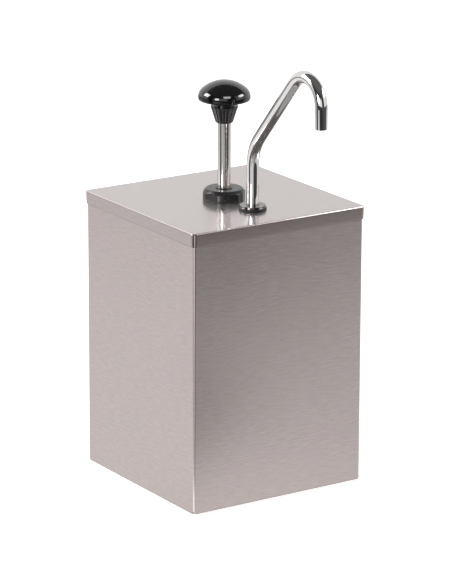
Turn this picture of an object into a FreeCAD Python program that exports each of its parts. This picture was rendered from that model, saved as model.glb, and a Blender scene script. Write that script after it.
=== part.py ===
"""Fructose dispenser: a square sheet-metal housing with a jar inside, and a
lift-off lid that carries a hand pump, its fluted knob and a swan-neck spout.

Frame: +Z up, -Y is the front, where the spout pours. The origin is the centre
of the housing on the counter. All sizes are millimetres.
"""
import FreeCAD, Part
import math
import os
import Sketcher

SIZES = {
    # Sheet-metal housing
    "body_width": 190.0,
    "body_depth": 190.0,
    "shell_height": 271.2,
    "shell_sheet": 1.0,
    "bend_inner": 1.0,
    "hem_depth": 10.0,
    "hem_sheet": 1.0,
    "corner_relief": 3.0,
    "relief_height": 1.6,
    "pan_sheet": 1.0,
    "pan_wall": 15.0,
    "pan_gap": 0.1,
    "pan_corner": 4.0,
    # Jar
    "jar_gap": 3.0,
    "jar_headroom": 12.0,
    "jar_wall": 2.5,
    "jar_floor": 3.0,
    "jar_corner": 18.0,
    "jar_draft": 1.2,
    "jar_lip": 4.0,
    "jar_lip_depth": 3.0,
    "jar_heel_radius": 6.0,
    # Lid
    "lid_seat_gap": 0.3,
    "lid_sheet": 0.8,
    "lid_overhang": 1.8,
    "lid_rim": 12.9,
    "lid_rim_gap": 0.5,
    "lid_edge_radius": 1.2,
    "lid_hem_radius": 0.4,
    # Fits
    "slip_fit": 0.05,
    "running_fit": 0.05,
    "hole_gap": 0.25,
    "seat_gap": 0.1,
    # Lock nut, collar and guide bush that hold the pump in the lid
    "nut_flats": 38.7,
    "nut_turned": 41.3,
    "nut_height": 10.0,
    "nut_top": 35.0,
    "nut_chamfer": 3.5,
    "nut_lip_radius": 0.5,
    "nut_turn": -12.0,
    "neck_diameter": 32.0,
    "neck_rise": 5.5,
    "collar_diameter": 46.0,
    "collar_flange": 4.0,
    "collar_grip": 8.0,
    "collar_throat": 24.0,
    "gasket_sheet": 1.5,
    "bush_rim": 15.5,
    "bush_flange": 28.0,
    "bush_flange_sheet": 2.0,
    "bush_proud": 0.8,
    "bush_sleeve": 18.0,
    "bush_length": 10.0,
    # Pump cylinder
    "cylinder_bore": 25.4,
    "cylinder_wall": 1.3,
    "vent_hole": 3.0,
    "vent_drop": 8.0,
    # Plunger
    "shaft_diameter": 12.7,
    "shaft_wall": 1.2,
    "stroke": 60.0,
    "knob_stop_gap": 3.9,
    "stop_ring_diameter": 20.0,
    "stop_ring_height": 5.0,
    "stop_gap": 0.3,
    "stop_pin": 2.5,
    "plug_length": 12.0,
    "plug_head": 2.0,
    "stud_diameter": 8.0,
    "stud_length": 14.0,
    # Knob
    "skirt_height": 15.8,
    "skirt_bottom": 16.6,
    "skirt_top": 26.5,
    "skirt_toe_radius": 1.2,
    "flute_count": 16,
    "flute_depth": 0.6,
    "flute_width_bottom": 1.9,
    "flute_width_top": 3.6,
    "knob_neck": 19.0,
    "knob_neck_height": 5.6,
    "knob_diameter": 49.8,
    "knob_crown": 15.9,
    "knob_shoulder_radius": 10.4,
    "knob_wall": 1.5,
    "knob_lower_radius": 2.1,
    # Piston
    "piston_skirt": 5.0,
    "piston_hub": 12.0,
    "piston_spigot": 12.0,
    "seal_height": 7.0,
    "seal_lip": 1.3,
    "seal_heel": 2.6,
    "seal_washer_sheet": 1.5,
    "washer_clearance": 0.6,
    "screw_diameter": 5.0,
    "screw_length": 16.0,
    "screw_head": 9.0,
    "screw_head_height": 3.5,
    "screw_socket": 4.0,
    # Return spring
    "spring_wire": 1.6,
    "spring_gap": 1.0,
    "spring_shut": 25.0,
    "spring_turns": 11,
    # Valve body with its two ball valves
    "intake_gap": 7.0,
    "inlet_port": 8.0,
    "inlet_port_length": 8.0,
    "inlet_lap": 2.0,
    "inlet_lift": 2.5,
    "inlet_side_gap": 3.0,
    "outlet_port": 6.0,
    "outlet_lap": 1.2,
    "outlet_lift": 2.5,
    "outlet_side_gap": 1.2,
    "ball_seat_gap": 0.2,
    "passage_bore": 5.0,
    "passage_web": 3.0,
    "passage_step": 0.75,
    "retainer_sheet": 1.5,
    "retainer_holes": 4,
    "retainer_margin": 0.4,
    "retainer_hole_bore": 4.6,
    "outlet_hole_bore": 2.2,
    "tube_socket": 10.0,
    "ring_wire": 1.6,
    "ring_squeeze": 0.1,
    "valve_wall": 3.0,
    "valve_edge_radius": 1.5,
    "plug_bore": 8.0,
    "plug_thread": 6.0,
    "plug_cap": 12.0,
    "plug_cap_height": 3.0,
    "plug_washer_sheet": 1.0,
    "plug_socket": 5.0,
    # Spout and the escutcheon that carries it through the lid
    "spout_offset": 49.2,
    "spout_diameter": 12.0,
    "spout_wall": 1.0,
    "spout_knee_rise": 58.4,
    "spout_knee_radius": 42.4,
    "spout_slope": 48.15,
    "spout_reach": 111.0,
    "spout_crown_radius": 24.4,
    "spout_tip_rise": 99.5,
    "escutcheon_diameter": 25.4,
    "escutcheon_bead": 1.1,
    "escutcheon_top": 24.8,
    "escutcheon_rise": 2.4,
    "escutcheon_groove": 0.7,
    "escutcheon_groove_sheet": 0.4,
    "escutcheon_round": 0.4,
    "escutcheon_mouth": 0.6,
    "shank_diameter": 16.0,
    "shank_tail": 2.0,
    "spout_gasket_diameter": 26.4,
    "spout_gasket_sheet": 2.0,
    "shank_washer_diameter": 24.6,
    "shank_washer_sheet": 1.2,
    "jam_nut_flats": 24.0,
    "jam_nut_height": 5.0,
    "jam_nut_corner": 1.0,
}

# Levels above the counter, worked out from the driving sizes.
PAN_FLOOR = "dims.pan_sheet"
JAR_INSIDE = f"({PAN_FLOOR} + dims.jar_floor)"
LID_UNDERSIDE = "(dims.shell_height + dims.lid_seat_gap)"
LID_TOP = f"({LID_UNDERSIDE} + dims.lid_sheet)"
NUT_TOP = f"({LID_TOP} + dims.nut_height)"
NECK_TOP = f"({LID_TOP} + dims.neck_rise)"
COLLAR_BOTTOM = f"({LID_UNDERSIDE} - dims.gasket_sheet - dims.collar_flange)"
CYLINDER_TOP = f"({COLLAR_BOTTOM} + dims.collar_grip)"
STOP_RING_BOTTOM = f"({NECK_TOP} - dims.bush_length - dims.stop_gap - dims.stop_ring_height)"
SKIRT_BOTTOM = f"({NUT_TOP} + dims.stroke + dims.knob_stop_gap)"
KNOB_BOTTOM = f"({SKIRT_BOTTOM} + dims.skirt_height)"
TUBE_TOP = f"({KNOB_BOTTOM} - dims.plug_head)"
KNOB_WIDEST = f"({KNOB_BOTTOM} + dims.knob_neck_height + dims.knob_lower_radius)"

# Radii that several pieces share.
SHAFT_RADIUS = "(dims.shaft_diameter / 2)"
SHAFT_BORE_RADIUS = "(dims.shaft_diameter / 2 - dims.shaft_wall)"
CYLINDER_RADIUS = "(dims.cylinder_bore / 2 + dims.cylinder_wall)"
SPOUT_RADIUS = "(dims.spout_diameter / 2)"
SHANK_RADIUS = "(dims.shank_diameter / 2)"
RING_GROOVE = "(dims.slip_fit + dims.ring_wire + dims.ring_squeeze)"
INLET_BALL_RADIUS = "(dims.inlet_port / 2 + dims.inlet_lap)"
OUTLET_BALL_RADIUS = "(dims.outlet_port / 2 + dims.outlet_lap)"

# Heights inside the valve body, from its underside. A ball sits on the rim of
# its port, so its centre is one leg of a right triangle above the rim.
VALVE_BOTTOM = f"({JAR_INSIDE} + dims.intake_gap)"
INLET_BALL = (
    "(dims.inlet_port_length + dims.ball_seat_gap"
    " + sqrt(dims.inlet_lap * (dims.inlet_port + dims.inlet_lap)))"
)
INLET_LEDGE = f"({INLET_BALL} + {INLET_BALL_RADIUS} + dims.inlet_lift + dims.ball_seat_gap)"
PASSAGE_AXIS = "(dims.inlet_port_length + dims.passage_bore / 2 + dims.passage_step)"
OUTLET_SEAT = f"({PASSAGE_AXIS} + dims.passage_bore / 2 + dims.passage_web)"
OUTLET_BALL = (
    f"({OUTLET_SEAT} + dims.ball_seat_gap"
    " + sqrt(dims.outlet_lap * (dims.outlet_port + dims.outlet_lap)))"
)
OUTLET_LEDGE = f"({OUTLET_BALL} + {OUTLET_BALL_RADIUS} + dims.outlet_lift + dims.ball_seat_gap)"
TUBE_END = f"({OUTLET_LEDGE} + dims.retainer_sheet)"
VALVE_TOP = f"({TUBE_END} + dims.tube_socket)"
CYLINDER_END = f"({INLET_LEDGE} + dims.retainer_sheet)"
SPRING_FOOT = f"({VALVE_BOTTOM} + {CYLINDER_END} + dims.seat_gap)"
SPRING_LENGTH = "(dims.stroke + dims.spring_shut)"
SEAL_WASHER_BOTTOM = f"({SPRING_FOOT} + {SPRING_LENGTH} + dims.seat_gap)"
SEAL_BOTTOM = f"({SEAL_WASHER_BOTTOM} + dims.seal_washer_sheet)"
TUBE_BOTTOM = f"({SEAL_BOTTOM} + dims.seal_height + dims.piston_skirt)"


# ---------------------------------------------------------------- helpers
def fill_sheet(doc):
    """Puts every driving size in the spreadsheet under its own alias."""
    sheet = doc.addObject("Spreadsheet::Sheet", "dims")
    for row, (alias, size) in enumerate(SIZES.items(), 1):
        sheet.set(f"A{row}", alias)
        sheet.set(f"B{row}", str(size))
        sheet.setAlias(f"B{row}", alias)
    doc.recompute()


def new_body(doc, label, x="0", y="0", z="0"):
    """A body for one piece, placed by expressions."""
    body = doc.addObject("PartDesign::Body", label)
    body.Label = label
    for axis, text in zip("xyz", (x, y, z)):
        if text != "0":
            body.setExpression(f"Placement.Base.{axis}", text)
    return body


def number(holder, text):
    """The present value of an expression, to start a sketch near its solution."""
    return float(holder.evalExpression(text))


def new_sketch(body, role, offset="0"):
    """A sketch on one of the body's own origin planes, raised along its normal."""
    sketch = body.newObject("Sketcher::SketchObject", f"{body.Label}_{role[:2]}")
    plane = [item for item in body.Origin.OriginFeatures if item.Role == role][0]
    sketch.AttachmentSupport = (plane, [""])
    sketch.MapMode = "FlatFace"
    if offset != "0":
        sketch.setExpression("AttachmentOffset.Base.z", offset)
    return sketch


def bind_last(sketch, text):
    sketch.setExpression(f"Constraints[{sketch.ConstraintCount - 1}]", text)


def place_point(sketch, item, end, across, up):
    """Fixes one point of a sketch at (across, up), both expressions."""
    for kind, axis, text in (("DistanceX", -2, across), ("DistanceY", -1, up)):
        if text == "0":
            sketch.addConstraint(Sketcher.Constraint("PointOnObject", item, end, axis))
            continue
        size = number(sketch, text)
        sketch.addConstraint(Sketcher.Constraint(kind, -1, 1, item, end, size))
        bind_last(sketch, text)


def draw_profile(sketch, corners):
    """A closed outline of straight sides through corners given as expressions."""
    spots = [FreeCAD.Vector(number(sketch, a), number(sketch, b), 0) for a, b in corners]
    first = sketch.GeometryCount
    count = len(corners)
    for index in range(count):
        sketch.addGeometry(Part.LineSegment(spots[index], spots[(index + 1) % count]), False)
    for index in range(count):
        following = first + (index + 1) % count
        sketch.addConstraint(Sketcher.Constraint("Coincident", first + index, 2, following, 1))
    for index, (across, up) in enumerate(corners):
        place_point(sketch, first + index, 1, across, up)


def draw_circle(sketch, across, up, radius):
    """A circle whose centre and radius are expressions."""
    centre = FreeCAD.Vector(number(sketch, across), number(sketch, up), 0)
    normal = FreeCAD.Vector(0, 0, 1)
    size = number(sketch, radius)
    item = sketch.addGeometry(Part.Circle(centre, normal, size), False)
    place_point(sketch, item, 3, across, up)
    sketch.addConstraint(Sketcher.Constraint("Radius", item, size))
    bind_last(sketch, radius)


def draw_rounded_rectangle(sketch, width, depth, radius):
    """A rectangle about the origin with four equal corner arcs."""
    half_x = number(sketch, width) / 2
    half_y = number(sketch, depth) / 2
    size = number(sketch, radius)
    normal = FreeCAD.Vector(0, 0, 1)
    first = sketch.GeometryCount
    for quarter, (sx, sy) in enumerate(((1, 1), (-1, 1), (-1, -1), (1, -1))):
        centre = FreeCAD.Vector(sx * (half_x - size), sy * (half_y - size), 0)
        start = quarter * math.pi / 2
        circle = Part.Circle(centre, normal, size)
        sketch.addGeometry(Part.ArcOfCircle(circle, start, start + math.pi / 2), False)
    for quarter in range(4):
        here = sketch.getPoint(first + quarter, 2)
        there = sketch.getPoint(first + (quarter + 1) % 4, 1)
        side = sketch.addGeometry(Part.LineSegment(here, there), False)
        following = first + (quarter + 1) % 4
        sketch.addConstraint(Sketcher.Constraint("Tangent", first + quarter, 2, side, 1))
        sketch.addConstraint(Sketcher.Constraint("Tangent", side, 2, following, 1))
    for quarter in range(1, 4):
        sketch.addConstraint(Sketcher.Constraint("Equal", first, first + quarter))
    sketch.addConstraint(Sketcher.Constraint("Horizontal", first + 4))
    sketch.addConstraint(Sketcher.Constraint("Vertical", first + 5))
    sketch.addConstraint(Sketcher.Constraint("Radius", first, size))
    bind_last(sketch, radius)
    place_point(sketch, first, 3, f"{width} / 2 - {radius}", f"{depth} / 2 - {radius}")
    place_point(sketch, first + 2, 3, f"{radius} - {width} / 2", f"{radius} - {depth} / 2")


def add_feature(body, kind, sketch, **options):
    """A PartDesign feature on a sketch; text options are bound as expressions."""
    feature = body.newObject(f"PartDesign::{kind}", f"{body.Label}_{kind}")
    feature.Profile = sketch
    for name, setting in options.items():
        if isinstance(setting, str):
            feature.setExpression(name, setting)
        else:
            setattr(feature, name, setting)
    return feature


def turn(body, kind, sketch, axis="V_Axis"):
    """A full turn of a sketch: Revolution adds metal, Groove takes it away."""
    return add_feature(body, kind, sketch, ReferenceAxis=(sketch, [axis]), Angle=360.0)


def turned(doc, label, corners, **place):
    """A piece turned about its own Z axis from a profile of (radius, height)."""
    body = new_body(doc, label, **place)
    sketch = new_sketch(body, "XZ_Plane")
    draw_profile(sketch, corners)
    turn(body, "Revolution", sketch)
    return body


def ring(doc, label, inner, outer, height, **place):
    """A plain ring, given by its radii and height."""
    corners = [(inner, "0"), (outer, "0"), (outer, height), (inner, height)]
    return turned(doc, label, corners, **place)


def o_ring(doc, label, shaft_radius, **place):
    """A round-section seal ring about a shaft of the given radius."""
    seal = doc.addObject("Part::Torus", label)
    seal.Label = label
    wire = "dims.ring_wire / 2"
    seal.setExpression("Radius1", f"{shaft_radius} + dims.slip_fit + {wire}")
    seal.setExpression("Radius2", wire)
    for axis, text in place.items():
        seal.setExpression(f"Placement.Base.{axis}", text)
    return seal


def repeat(body, kind, feature, sketch, count):
    """A ring of copies of one feature about the body's Z axis."""
    pattern = body.newObject("PartDesign::PolarPattern", f"{body.Label}_{kind}")
    pattern.Originals = [feature]
    pattern.Axis = (sketch, ["N_Axis"])
    pattern.Angle = 360.0
    if isinstance(count, str):
        pattern.setExpression("Occurrences", count)
    else:
        pattern.Occurrences = count
    body.Tip = pattern
    return pattern


def round_edges(body, radius, chosen):
    """Fillets the edges of the body's present shape that `chosen` accepts."""
    body.Document.recompute()
    base = body.Tip
    names = []
    for index, edge in enumerate(base.Shape.Edges, 1):
        if chosen(edge):
            names.append(f"Edge{index}")
    fillet = body.newObject("PartDesign::Fillet", f"{body.Label}_Fillet")
    fillet.Base = (base, names)
    fillet.setExpression("Radius", radius)
    return fillet


def at_height(edge, level):
    """True for an edge that lies flat at one height of its body."""
    box = edge.BoundBox
    return abs(box.ZMin - level) < 0.001 and abs(box.ZMax - level) < 0.001


def reach_of(edge):
    """How far an edge's box reaches from the Z axis along X."""
    return edge.BoundBox.XMax


def cut_flats(body, across, radius, height):
    """Mills six flats on a turned blank."""
    sketch = new_sketch(body, "XY_Plane", height)
    flat = f"{across} / 2"
    beyond = f"({radius} * 1.5)"
    draw_profile(sketch, [(f"-{beyond}", flat), (beyond, flat), (beyond, beyond), (f"-{beyond}", beyond)])
    pocket = add_feature(body, "Pocket", sketch, Length=height)
    repeat(body, "Flats", pocket, sketch, 6)


# ---------------------------------------------------------------- housing
def housing_shell(doc):
    """Folded four-sided wall with a hemmed top edge and notched foot corners."""
    body = new_body(doc, "housing_shell")
    width = "(dims.body_width - 2 * dims.shell_sheet)"
    depth = "(dims.body_depth - 2 * dims.shell_sheet)"
    wall = new_sketch(body, "XY_Plane")
    bend = "(dims.bend_inner + dims.shell_sheet)"
    draw_rounded_rectangle(wall, "dims.body_width", "dims.body_depth", bend)
    draw_rounded_rectangle(wall, width, depth, "dims.bend_inner")
    add_feature(body, "Pad", wall, Length="dims.shell_height")

    hem = new_sketch(body, "XY_Plane", "dims.shell_height - dims.hem_depth")
    draw_rounded_rectangle(hem, width, depth, "dims.bend_inner")
    draw_rounded_rectangle(
        hem,
        "(dims.body_width - 2 * dims.shell_sheet - 2 * dims.hem_sheet)",
        "(dims.body_depth - 2 * dims.shell_sheet - 2 * dims.hem_sheet)",
        "(dims.bend_inner / 2)",
    )
    add_feature(body, "Pad", hem, Length="dims.hem_depth")

    relief = new_sketch(body, "XY_Plane", "dims.relief_height")
    for sx, sy in (("", ""), ("-", ""), ("", "-"), ("-", "-")):
        across = f"{sx}(dims.body_width / 2 - dims.shell_sheet)"
        along = f"{sy}(dims.body_depth / 2 - dims.shell_sheet)"
        draw_circle(relief, across, along, "dims.corner_relief / 2")
    add_feature(body, "Pocket", relief, Length="dims.relief_height")
    return body


def bottom_pan(doc):
    """Shallow tray welded inside the shell; its floor stands on the counter."""
    body = new_body(doc, "bottom_pan")
    side = "(dims.shell_sheet + dims.pan_gap)"
    width = f"(dims.body_width - 2 * {side})"
    depth = f"(dims.body_depth - 2 * {side})"
    outer = new_sketch(body, "XY_Plane")
    draw_rounded_rectangle(outer, width, depth, "dims.pan_corner")
    add_feature(body, "Pad", outer, Length="dims.pan_wall")
    inner = new_sketch(body, "XY_Plane", "dims.pan_wall")
    draw_rounded_rectangle(
        inner,
        f"({width} - 2 * dims.pan_sheet)",
        f"({depth} - 2 * dims.pan_sheet)",
        "(dims.pan_corner - dims.pan_sheet)",
    )
    add_feature(body, "Pocket", inner, Length="dims.pan_wall - dims.pan_sheet")
    return body


def jar(doc):
    """Moulded jar with drafted walls, a rolled lip and a rounded heel."""
    height = f"({LID_UNDERSIDE} - dims.jar_headroom - {PAN_FLOOR})"
    clear = "(dims.shell_sheet + dims.hem_sheet + dims.jar_gap)"
    lip_width = f"(dims.body_width - 2 * {clear})"
    lip_depth = f"(dims.body_depth - 2 * {clear})"
    width = f"({lip_width} - 2 * dims.jar_lip)"
    depth = f"({lip_depth} - 2 * dims.jar_lip)"
    body = new_body(doc, "jar", z=PAN_FLOOR)
    outer = new_sketch(body, "XY_Plane", height)
    draw_rounded_rectangle(outer, width, depth, "dims.jar_corner")
    add_feature(body, "Pad", outer, Length=height, TaperAngle="-dims.jar_draft", Reversed=True)
    round_edges(body, "dims.jar_heel_radius", lambda edge: at_height(edge, 0))

    inner = new_sketch(body, "XY_Plane", height)
    draw_rounded_rectangle(
        inner,
        f"({width} - 2 * dims.jar_wall)",
        f"({depth} - 2 * dims.jar_wall)",
        "(dims.jar_corner - dims.jar_wall)",
    )
    add_feature(
        body, "Pocket", inner, Length=f"{height} - dims.jar_floor", TaperAngle="-dims.jar_draft"
    )
    lip = new_sketch(body, "XY_Plane", f"{height} - dims.jar_lip_depth")
    draw_rounded_rectangle(lip, lip_width, lip_depth, "(dims.jar_corner + dims.jar_lip)")
    draw_rounded_rectangle(
        lip,
        f"({width} - dims.jar_wall)",
        f"({depth} - dims.jar_wall)",
        "(dims.jar_corner - dims.jar_wall / 2)",
    )
    add_feature(body, "Pad", lip, Length="dims.jar_lip_depth")
    return body


# ---------------------------------------------------------------- lid
def lid(doc):
    """Drawn sheet lid whose rim leans outwards from its hem to its top edge."""
    body = new_body(doc, "lid", z=f"{LID_TOP} - dims.lid_rim")
    reach = "(dims.lid_rim_gap + dims.lid_sheet)"
    bend = "(dims.bend_inner + dims.shell_sheet + dims.lid_rim_gap)"
    flare = f"(dims.lid_overhang - {reach})"

    def outline(level, side, radius):
        sketch = new_sketch(body, "XY_Plane", level)
        width = f"(dims.body_width + 2 * {side})"
        depth = f"(dims.body_depth + 2 * {side})"
        draw_rounded_rectangle(sketch, width, depth, radius)
        return sketch

    foot = outline("0", reach, f"({bend} + dims.lid_sheet)")
    crown = outline("dims.lid_rim", "dims.lid_overhang", f"({bend} + dims.lid_sheet + {flare})")
    add_feature(body, "AdditiveLoft", foot, Sections=[crown], Ruled=True)
    inner_foot = outline("0", "dims.lid_rim_gap", bend)
    inner_crown = outline(
        "dims.lid_rim - dims.lid_sheet",
        "(dims.lid_overhang - dims.lid_sheet)",
        f"({bend} + {flare})",
    )
    add_feature(body, "SubtractiveLoft", inner_foot, Sections=[inner_crown], Ruled=True)
    level = number(body, "dims.lid_rim")
    wide = number(body, "dims.body_width / 2 + dims.lid_rim_gap")
    deep = number(body, "dims.body_depth / 2 + dims.lid_rim_gap")

    def on_hem(edge):
        box = edge.BoundBox
        outside = box.XMax > wide + 0.01 or box.YMax > deep + 0.01
        outside = outside or box.XMin < -wide - 0.01 or box.YMin < -deep - 0.01
        return outside and at_height(edge, 0)

    round_edges(body, "dims.lid_edge_radius", lambda edge: at_height(edge, level))
    round_edges(body, "dims.lid_hem_radius", on_hem)

    holes = new_sketch(body, "XY_Plane", "dims.lid_rim")
    draw_circle(holes, "0", "0", "(dims.neck_diameter / 2 + dims.hole_gap)")
    draw_circle(holes, "0", "-dims.spout_offset", f"({SHANK_RADIUS} + dims.hole_gap)")
    add_feature(body, "Pocket", holes, Length="2 * dims.lid_sheet")
    return body


def lock_nut(doc):
    """Hexagonal cap nut with turned corners and a chamfer round its flat top."""
    body = new_body(doc, "lock_nut", z=LID_TOP)
    body.Placement.Rotation = FreeCAD.Rotation(FreeCAD.Vector(0, 0, 1), 0)
    body.setExpression("Placement.Rotation.Angle", "dims.nut_turn")
    thread = "(dims.neck_diameter / 2 + dims.slip_fit)"
    mouth = "(dims.bush_rim / 2 + dims.slip_fit)"
    cap = "(dims.neck_rise + dims.bush_flange_sheet)"
    radius = "(dims.nut_turned / 2)"
    disc = "(dims.nut_top / 2)"
    corners = [
        (thread, "0"),
        (radius, "0"),
        (radius, "(dims.nut_height - dims.nut_chamfer)"),
        (disc, "dims.nut_height"),
        (mouth, "dims.nut_height"),
        (mouth, cap),
        (thread, cap),
    ]
    sketch = new_sketch(body, "XZ_Plane")
    draw_profile(sketch, corners)
    turn(body, "Revolution", sketch)
    top = number(body, "dims.nut_height")
    lip = number(body, disc)
    round_edges(
        body,
        "dims.nut_lip_radius",
        lambda edge: at_height(edge, top) and reach_of(edge) > lip - 0.01,
    )
    cut_flats(body, "dims.nut_flats", radius, "dims.nut_height")
    return body


def pump_collar(doc):
    """Flanged neck that holds the cylinder and takes the lock nut's thread."""
    outside = "(dims.collar_diameter / 2)"
    neck = "(dims.neck_diameter / 2)"
    socket = f"({CYLINDER_RADIUS} + dims.slip_fit)"
    throat = "(dims.collar_throat / 2)"
    top = f"({NECK_TOP} - {COLLAR_BOTTOM})"
    corners = [
        (socket, "0"),
        (outside, "0"),
        (outside, "dims.collar_flange"),
        (neck, "dims.collar_flange"),
        (neck, top),
        (throat, top),
        (throat, "dims.collar_grip"),
        (socket, "dims.collar_grip"),
    ]
    return turned(doc, "pump_collar", corners, z=COLLAR_BOTTOM)


def collar_gasket(doc):
    inner = "(dims.neck_diameter / 2 + dims.hole_gap)"
    outer = "(dims.collar_diameter / 2 - dims.hole_gap)"
    level = f"{LID_UNDERSIDE} - dims.gasket_sheet"
    return ring(doc, "collar_gasket", inner, outer, "dims.gasket_sheet", z=level)


def guide_bush(doc):
    """Flanged bush clamped under the lock nut's cap; the plunger runs in it."""
    bore = f"({SHAFT_RADIUS} + dims.running_fit)"
    rim = "(dims.bush_rim / 2)"
    flange = "(dims.bush_flange / 2)"
    sleeve = "(dims.bush_sleeve / 2)"
    top = "(dims.nut_height - dims.neck_rise + dims.bush_proud)"
    corners = [
        (bore, "-dims.bush_length"),
        (sleeve, "-dims.bush_length"),
        (sleeve, "0"),
        (flange, "0"),
        (flange, "dims.bush_flange_sheet"),
        (rim, "dims.bush_flange_sheet"),
        (rim, top),
        (bore, top),
    ]
    return turned(doc, "guide_bush", corners, z=NECK_TOP)


# ---------------------------------------------------------------- pump barrel
def pump_cylinder(doc):
    """Long tube from the collar down to the valve body, vented near its top."""
    bottom = f"({VALVE_BOTTOM} + {CYLINDER_END})"
    length = f"({CYLINDER_TOP} - {bottom})"
    body = ring(
        doc, "pump_cylinder", "(dims.cylinder_bore / 2)", CYLINDER_RADIUS, length, z=bottom
    )
    vent = new_sketch(body, "XZ_Plane")
    height = f"({length} - dims.collar_grip - dims.vent_drop)"
    draw_circle(vent, "0", height, "dims.vent_hole / 2")
    add_feature(body, "Pocket", vent, Length=f"{CYLINDER_RADIUS} * 2")
    return body


def valve_outline(sketch, large, small, distance):
    """The tangent outline round a large circle and a small one in front of it."""
    big = number(sketch, large)
    little = number(sketch, small)
    gap = number(sketch, distance)
    lean = math.asin((big - little) / gap)
    normal = FreeCAD.Vector(0, 0, 1)
    rear = Part.Circle(FreeCAD.Vector(0, 0, 0), normal, big)
    front = Part.Circle(FreeCAD.Vector(0, -gap, 0), normal, little)
    sketch.addGeometry(Part.ArcOfCircle(rear, -lean, math.pi + lean), False)
    sketch.addGeometry(Part.ArcOfCircle(front, math.pi + lean, 2 * math.pi - lean), False)
    sketch.addGeometry(Part.LineSegment(sketch.getPoint(0, 2), sketch.getPoint(1, 1)), False)
    sketch.addGeometry(Part.LineSegment(sketch.getPoint(1, 2), sketch.getPoint(0, 1)), False)
    for item, end, other, start in ((0, 2, 2, 1), (2, 2, 1, 1), (1, 2, 3, 1), (3, 2, 0, 1)):
        sketch.addConstraint(Sketcher.Constraint("Tangent", item, end, other, start))
    sketch.addConstraint(Sketcher.Constraint("Coincident", 0, 3, -1, 1))
    place_point(sketch, 1, 3, "0", f"-{distance}")
    for item, text in ((0, large), (1, small)):
        sketch.addConstraint(Sketcher.Constraint("Radius", item, number(sketch, text)))
        bind_last(sketch, text)


def bored_profile(port, chamber, ledge, seat, socket, ring_level):
    """Half profile of a valve bore: port, ball chamber, socket and ring groove."""
    groove = f"({socket} + dims.ring_wire + dims.ring_squeeze)"
    half = "(dims.ring_wire / 2 + dims.ring_squeeze)"
    above = f"({VALVE_TOP} + dims.valve_wall)"
    return [
        ("0", "-dims.valve_wall"),
        (port, "-dims.valve_wall"),
        (port, seat),
        (chamber, seat),
        (chamber, ledge),
        (socket, ledge),
        (socket, f"({ring_level} - {half})"),
        (groove, f"({ring_level} - {half})"),
        (groove, f"({ring_level} + {half})"),
        (socket, f"({ring_level} + {half})"),
        (socket, above),
        ("0", above),
    ]


RING_LEVEL = f"({VALVE_TOP} - dims.tube_socket / 2)"
INLET_CHAMBER = f"({INLET_BALL_RADIUS} + dims.inlet_side_gap)"
OUTLET_CHAMBER = f"({OUTLET_BALL_RADIUS} + dims.outlet_side_gap)"
BARREL_SOCKET = f"({CYLINDER_RADIUS} + dims.slip_fit)"
TUBE_SOCKET = f"({SPOUT_RADIUS} + dims.slip_fit)"
VALVE_LARGE = f"({CYLINDER_RADIUS} + {RING_GROOVE} + dims.valve_wall)"
VALVE_SMALL = f"({SPOUT_RADIUS} + {RING_GROOVE} + dims.valve_wall)"
VALVE_FRONT = f"(dims.spout_offset + {VALVE_SMALL})"


def valve_body(doc):
    """Moulded block with two stepped bores joined by a drilled cross passage."""
    body = new_body(doc, "valve_body", z=VALVE_BOTTOM)
    outline = new_sketch(body, "XY_Plane")
    valve_outline(outline, VALVE_LARGE, VALVE_SMALL, "dims.spout_offset")
    add_feature(body, "Pad", outline, Length=VALVE_TOP)
    top = number(body, VALVE_TOP)
    round_edges(
        body, "dims.valve_edge_radius", lambda edge: at_height(edge, 0) or at_height(edge, top)
    )

    inlet = new_sketch(body, "XZ_Plane")
    profile = bored_profile(
        "(dims.inlet_port / 2)", INLET_CHAMBER, INLET_LEDGE, "dims.inlet_port_length",
        BARREL_SOCKET, RING_LEVEL,
    )
    draw_profile(inlet, profile)
    turn(body, "Groove", inlet)

    outlet = new_sketch(body, "XZ_Plane", "dims.spout_offset")
    profile = bored_profile(
        "(dims.outlet_port / 2)", OUTLET_CHAMBER, OUTLET_LEDGE, OUTLET_SEAT, TUBE_SOCKET, RING_LEVEL
    )
    closed_floor = [(across, PASSAGE_AXIS) for across, up in profile[:2]]
    draw_profile(outlet, closed_floor + profile[2:])
    turn(body, "Groove", outlet)

    passage = new_sketch(body, "XZ_Plane", VALVE_FRONT)
    draw_circle(passage, "0", PASSAGE_AXIS, "dims.passage_bore / 2")
    add_feature(body, "Pocket", passage, Length=f"{VALVE_FRONT} - {INLET_CHAMBER} / 2")
    thread = new_sketch(body, "XZ_Plane", VALVE_FRONT)
    draw_circle(thread, "0", PASSAGE_AXIS, "dims.plug_bore / 2")
    add_feature(body, "Pocket", thread, Length="dims.plug_thread")
    return body


def perforated_disc(doc, label, radius, circle, hole, **place):
    """Thin disc with a ring of flow holes; it keeps a ball in its chamber."""
    body = turned(
        doc,
        label,
        [("0", "0"), (radius, "0"), (radius, "dims.retainer_sheet"), ("0", "dims.retainer_sheet")],
        **place,
    )
    sketch = new_sketch(body, "XY_Plane", "dims.retainer_sheet")
    draw_circle(sketch, circle, "0", f"{hole} / 2")
    pocket = add_feature(body, "Pocket", sketch, Length="dims.retainer_sheet")
    repeat(body, "Holes", pocket, sketch, "dims.retainer_holes")
    return body


def inlet_retainer(doc):
    circle = f"({INLET_CHAMBER} - dims.retainer_hole_bore / 2 - dims.retainer_margin)"
    return perforated_disc(
        doc,
        "inlet_retainer",
        f"({BARREL_SOCKET} - dims.seat_gap)",
        circle,
        "dims.retainer_hole_bore",
        z=f"{VALVE_BOTTOM} + {INLET_LEDGE}",
    )


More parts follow.
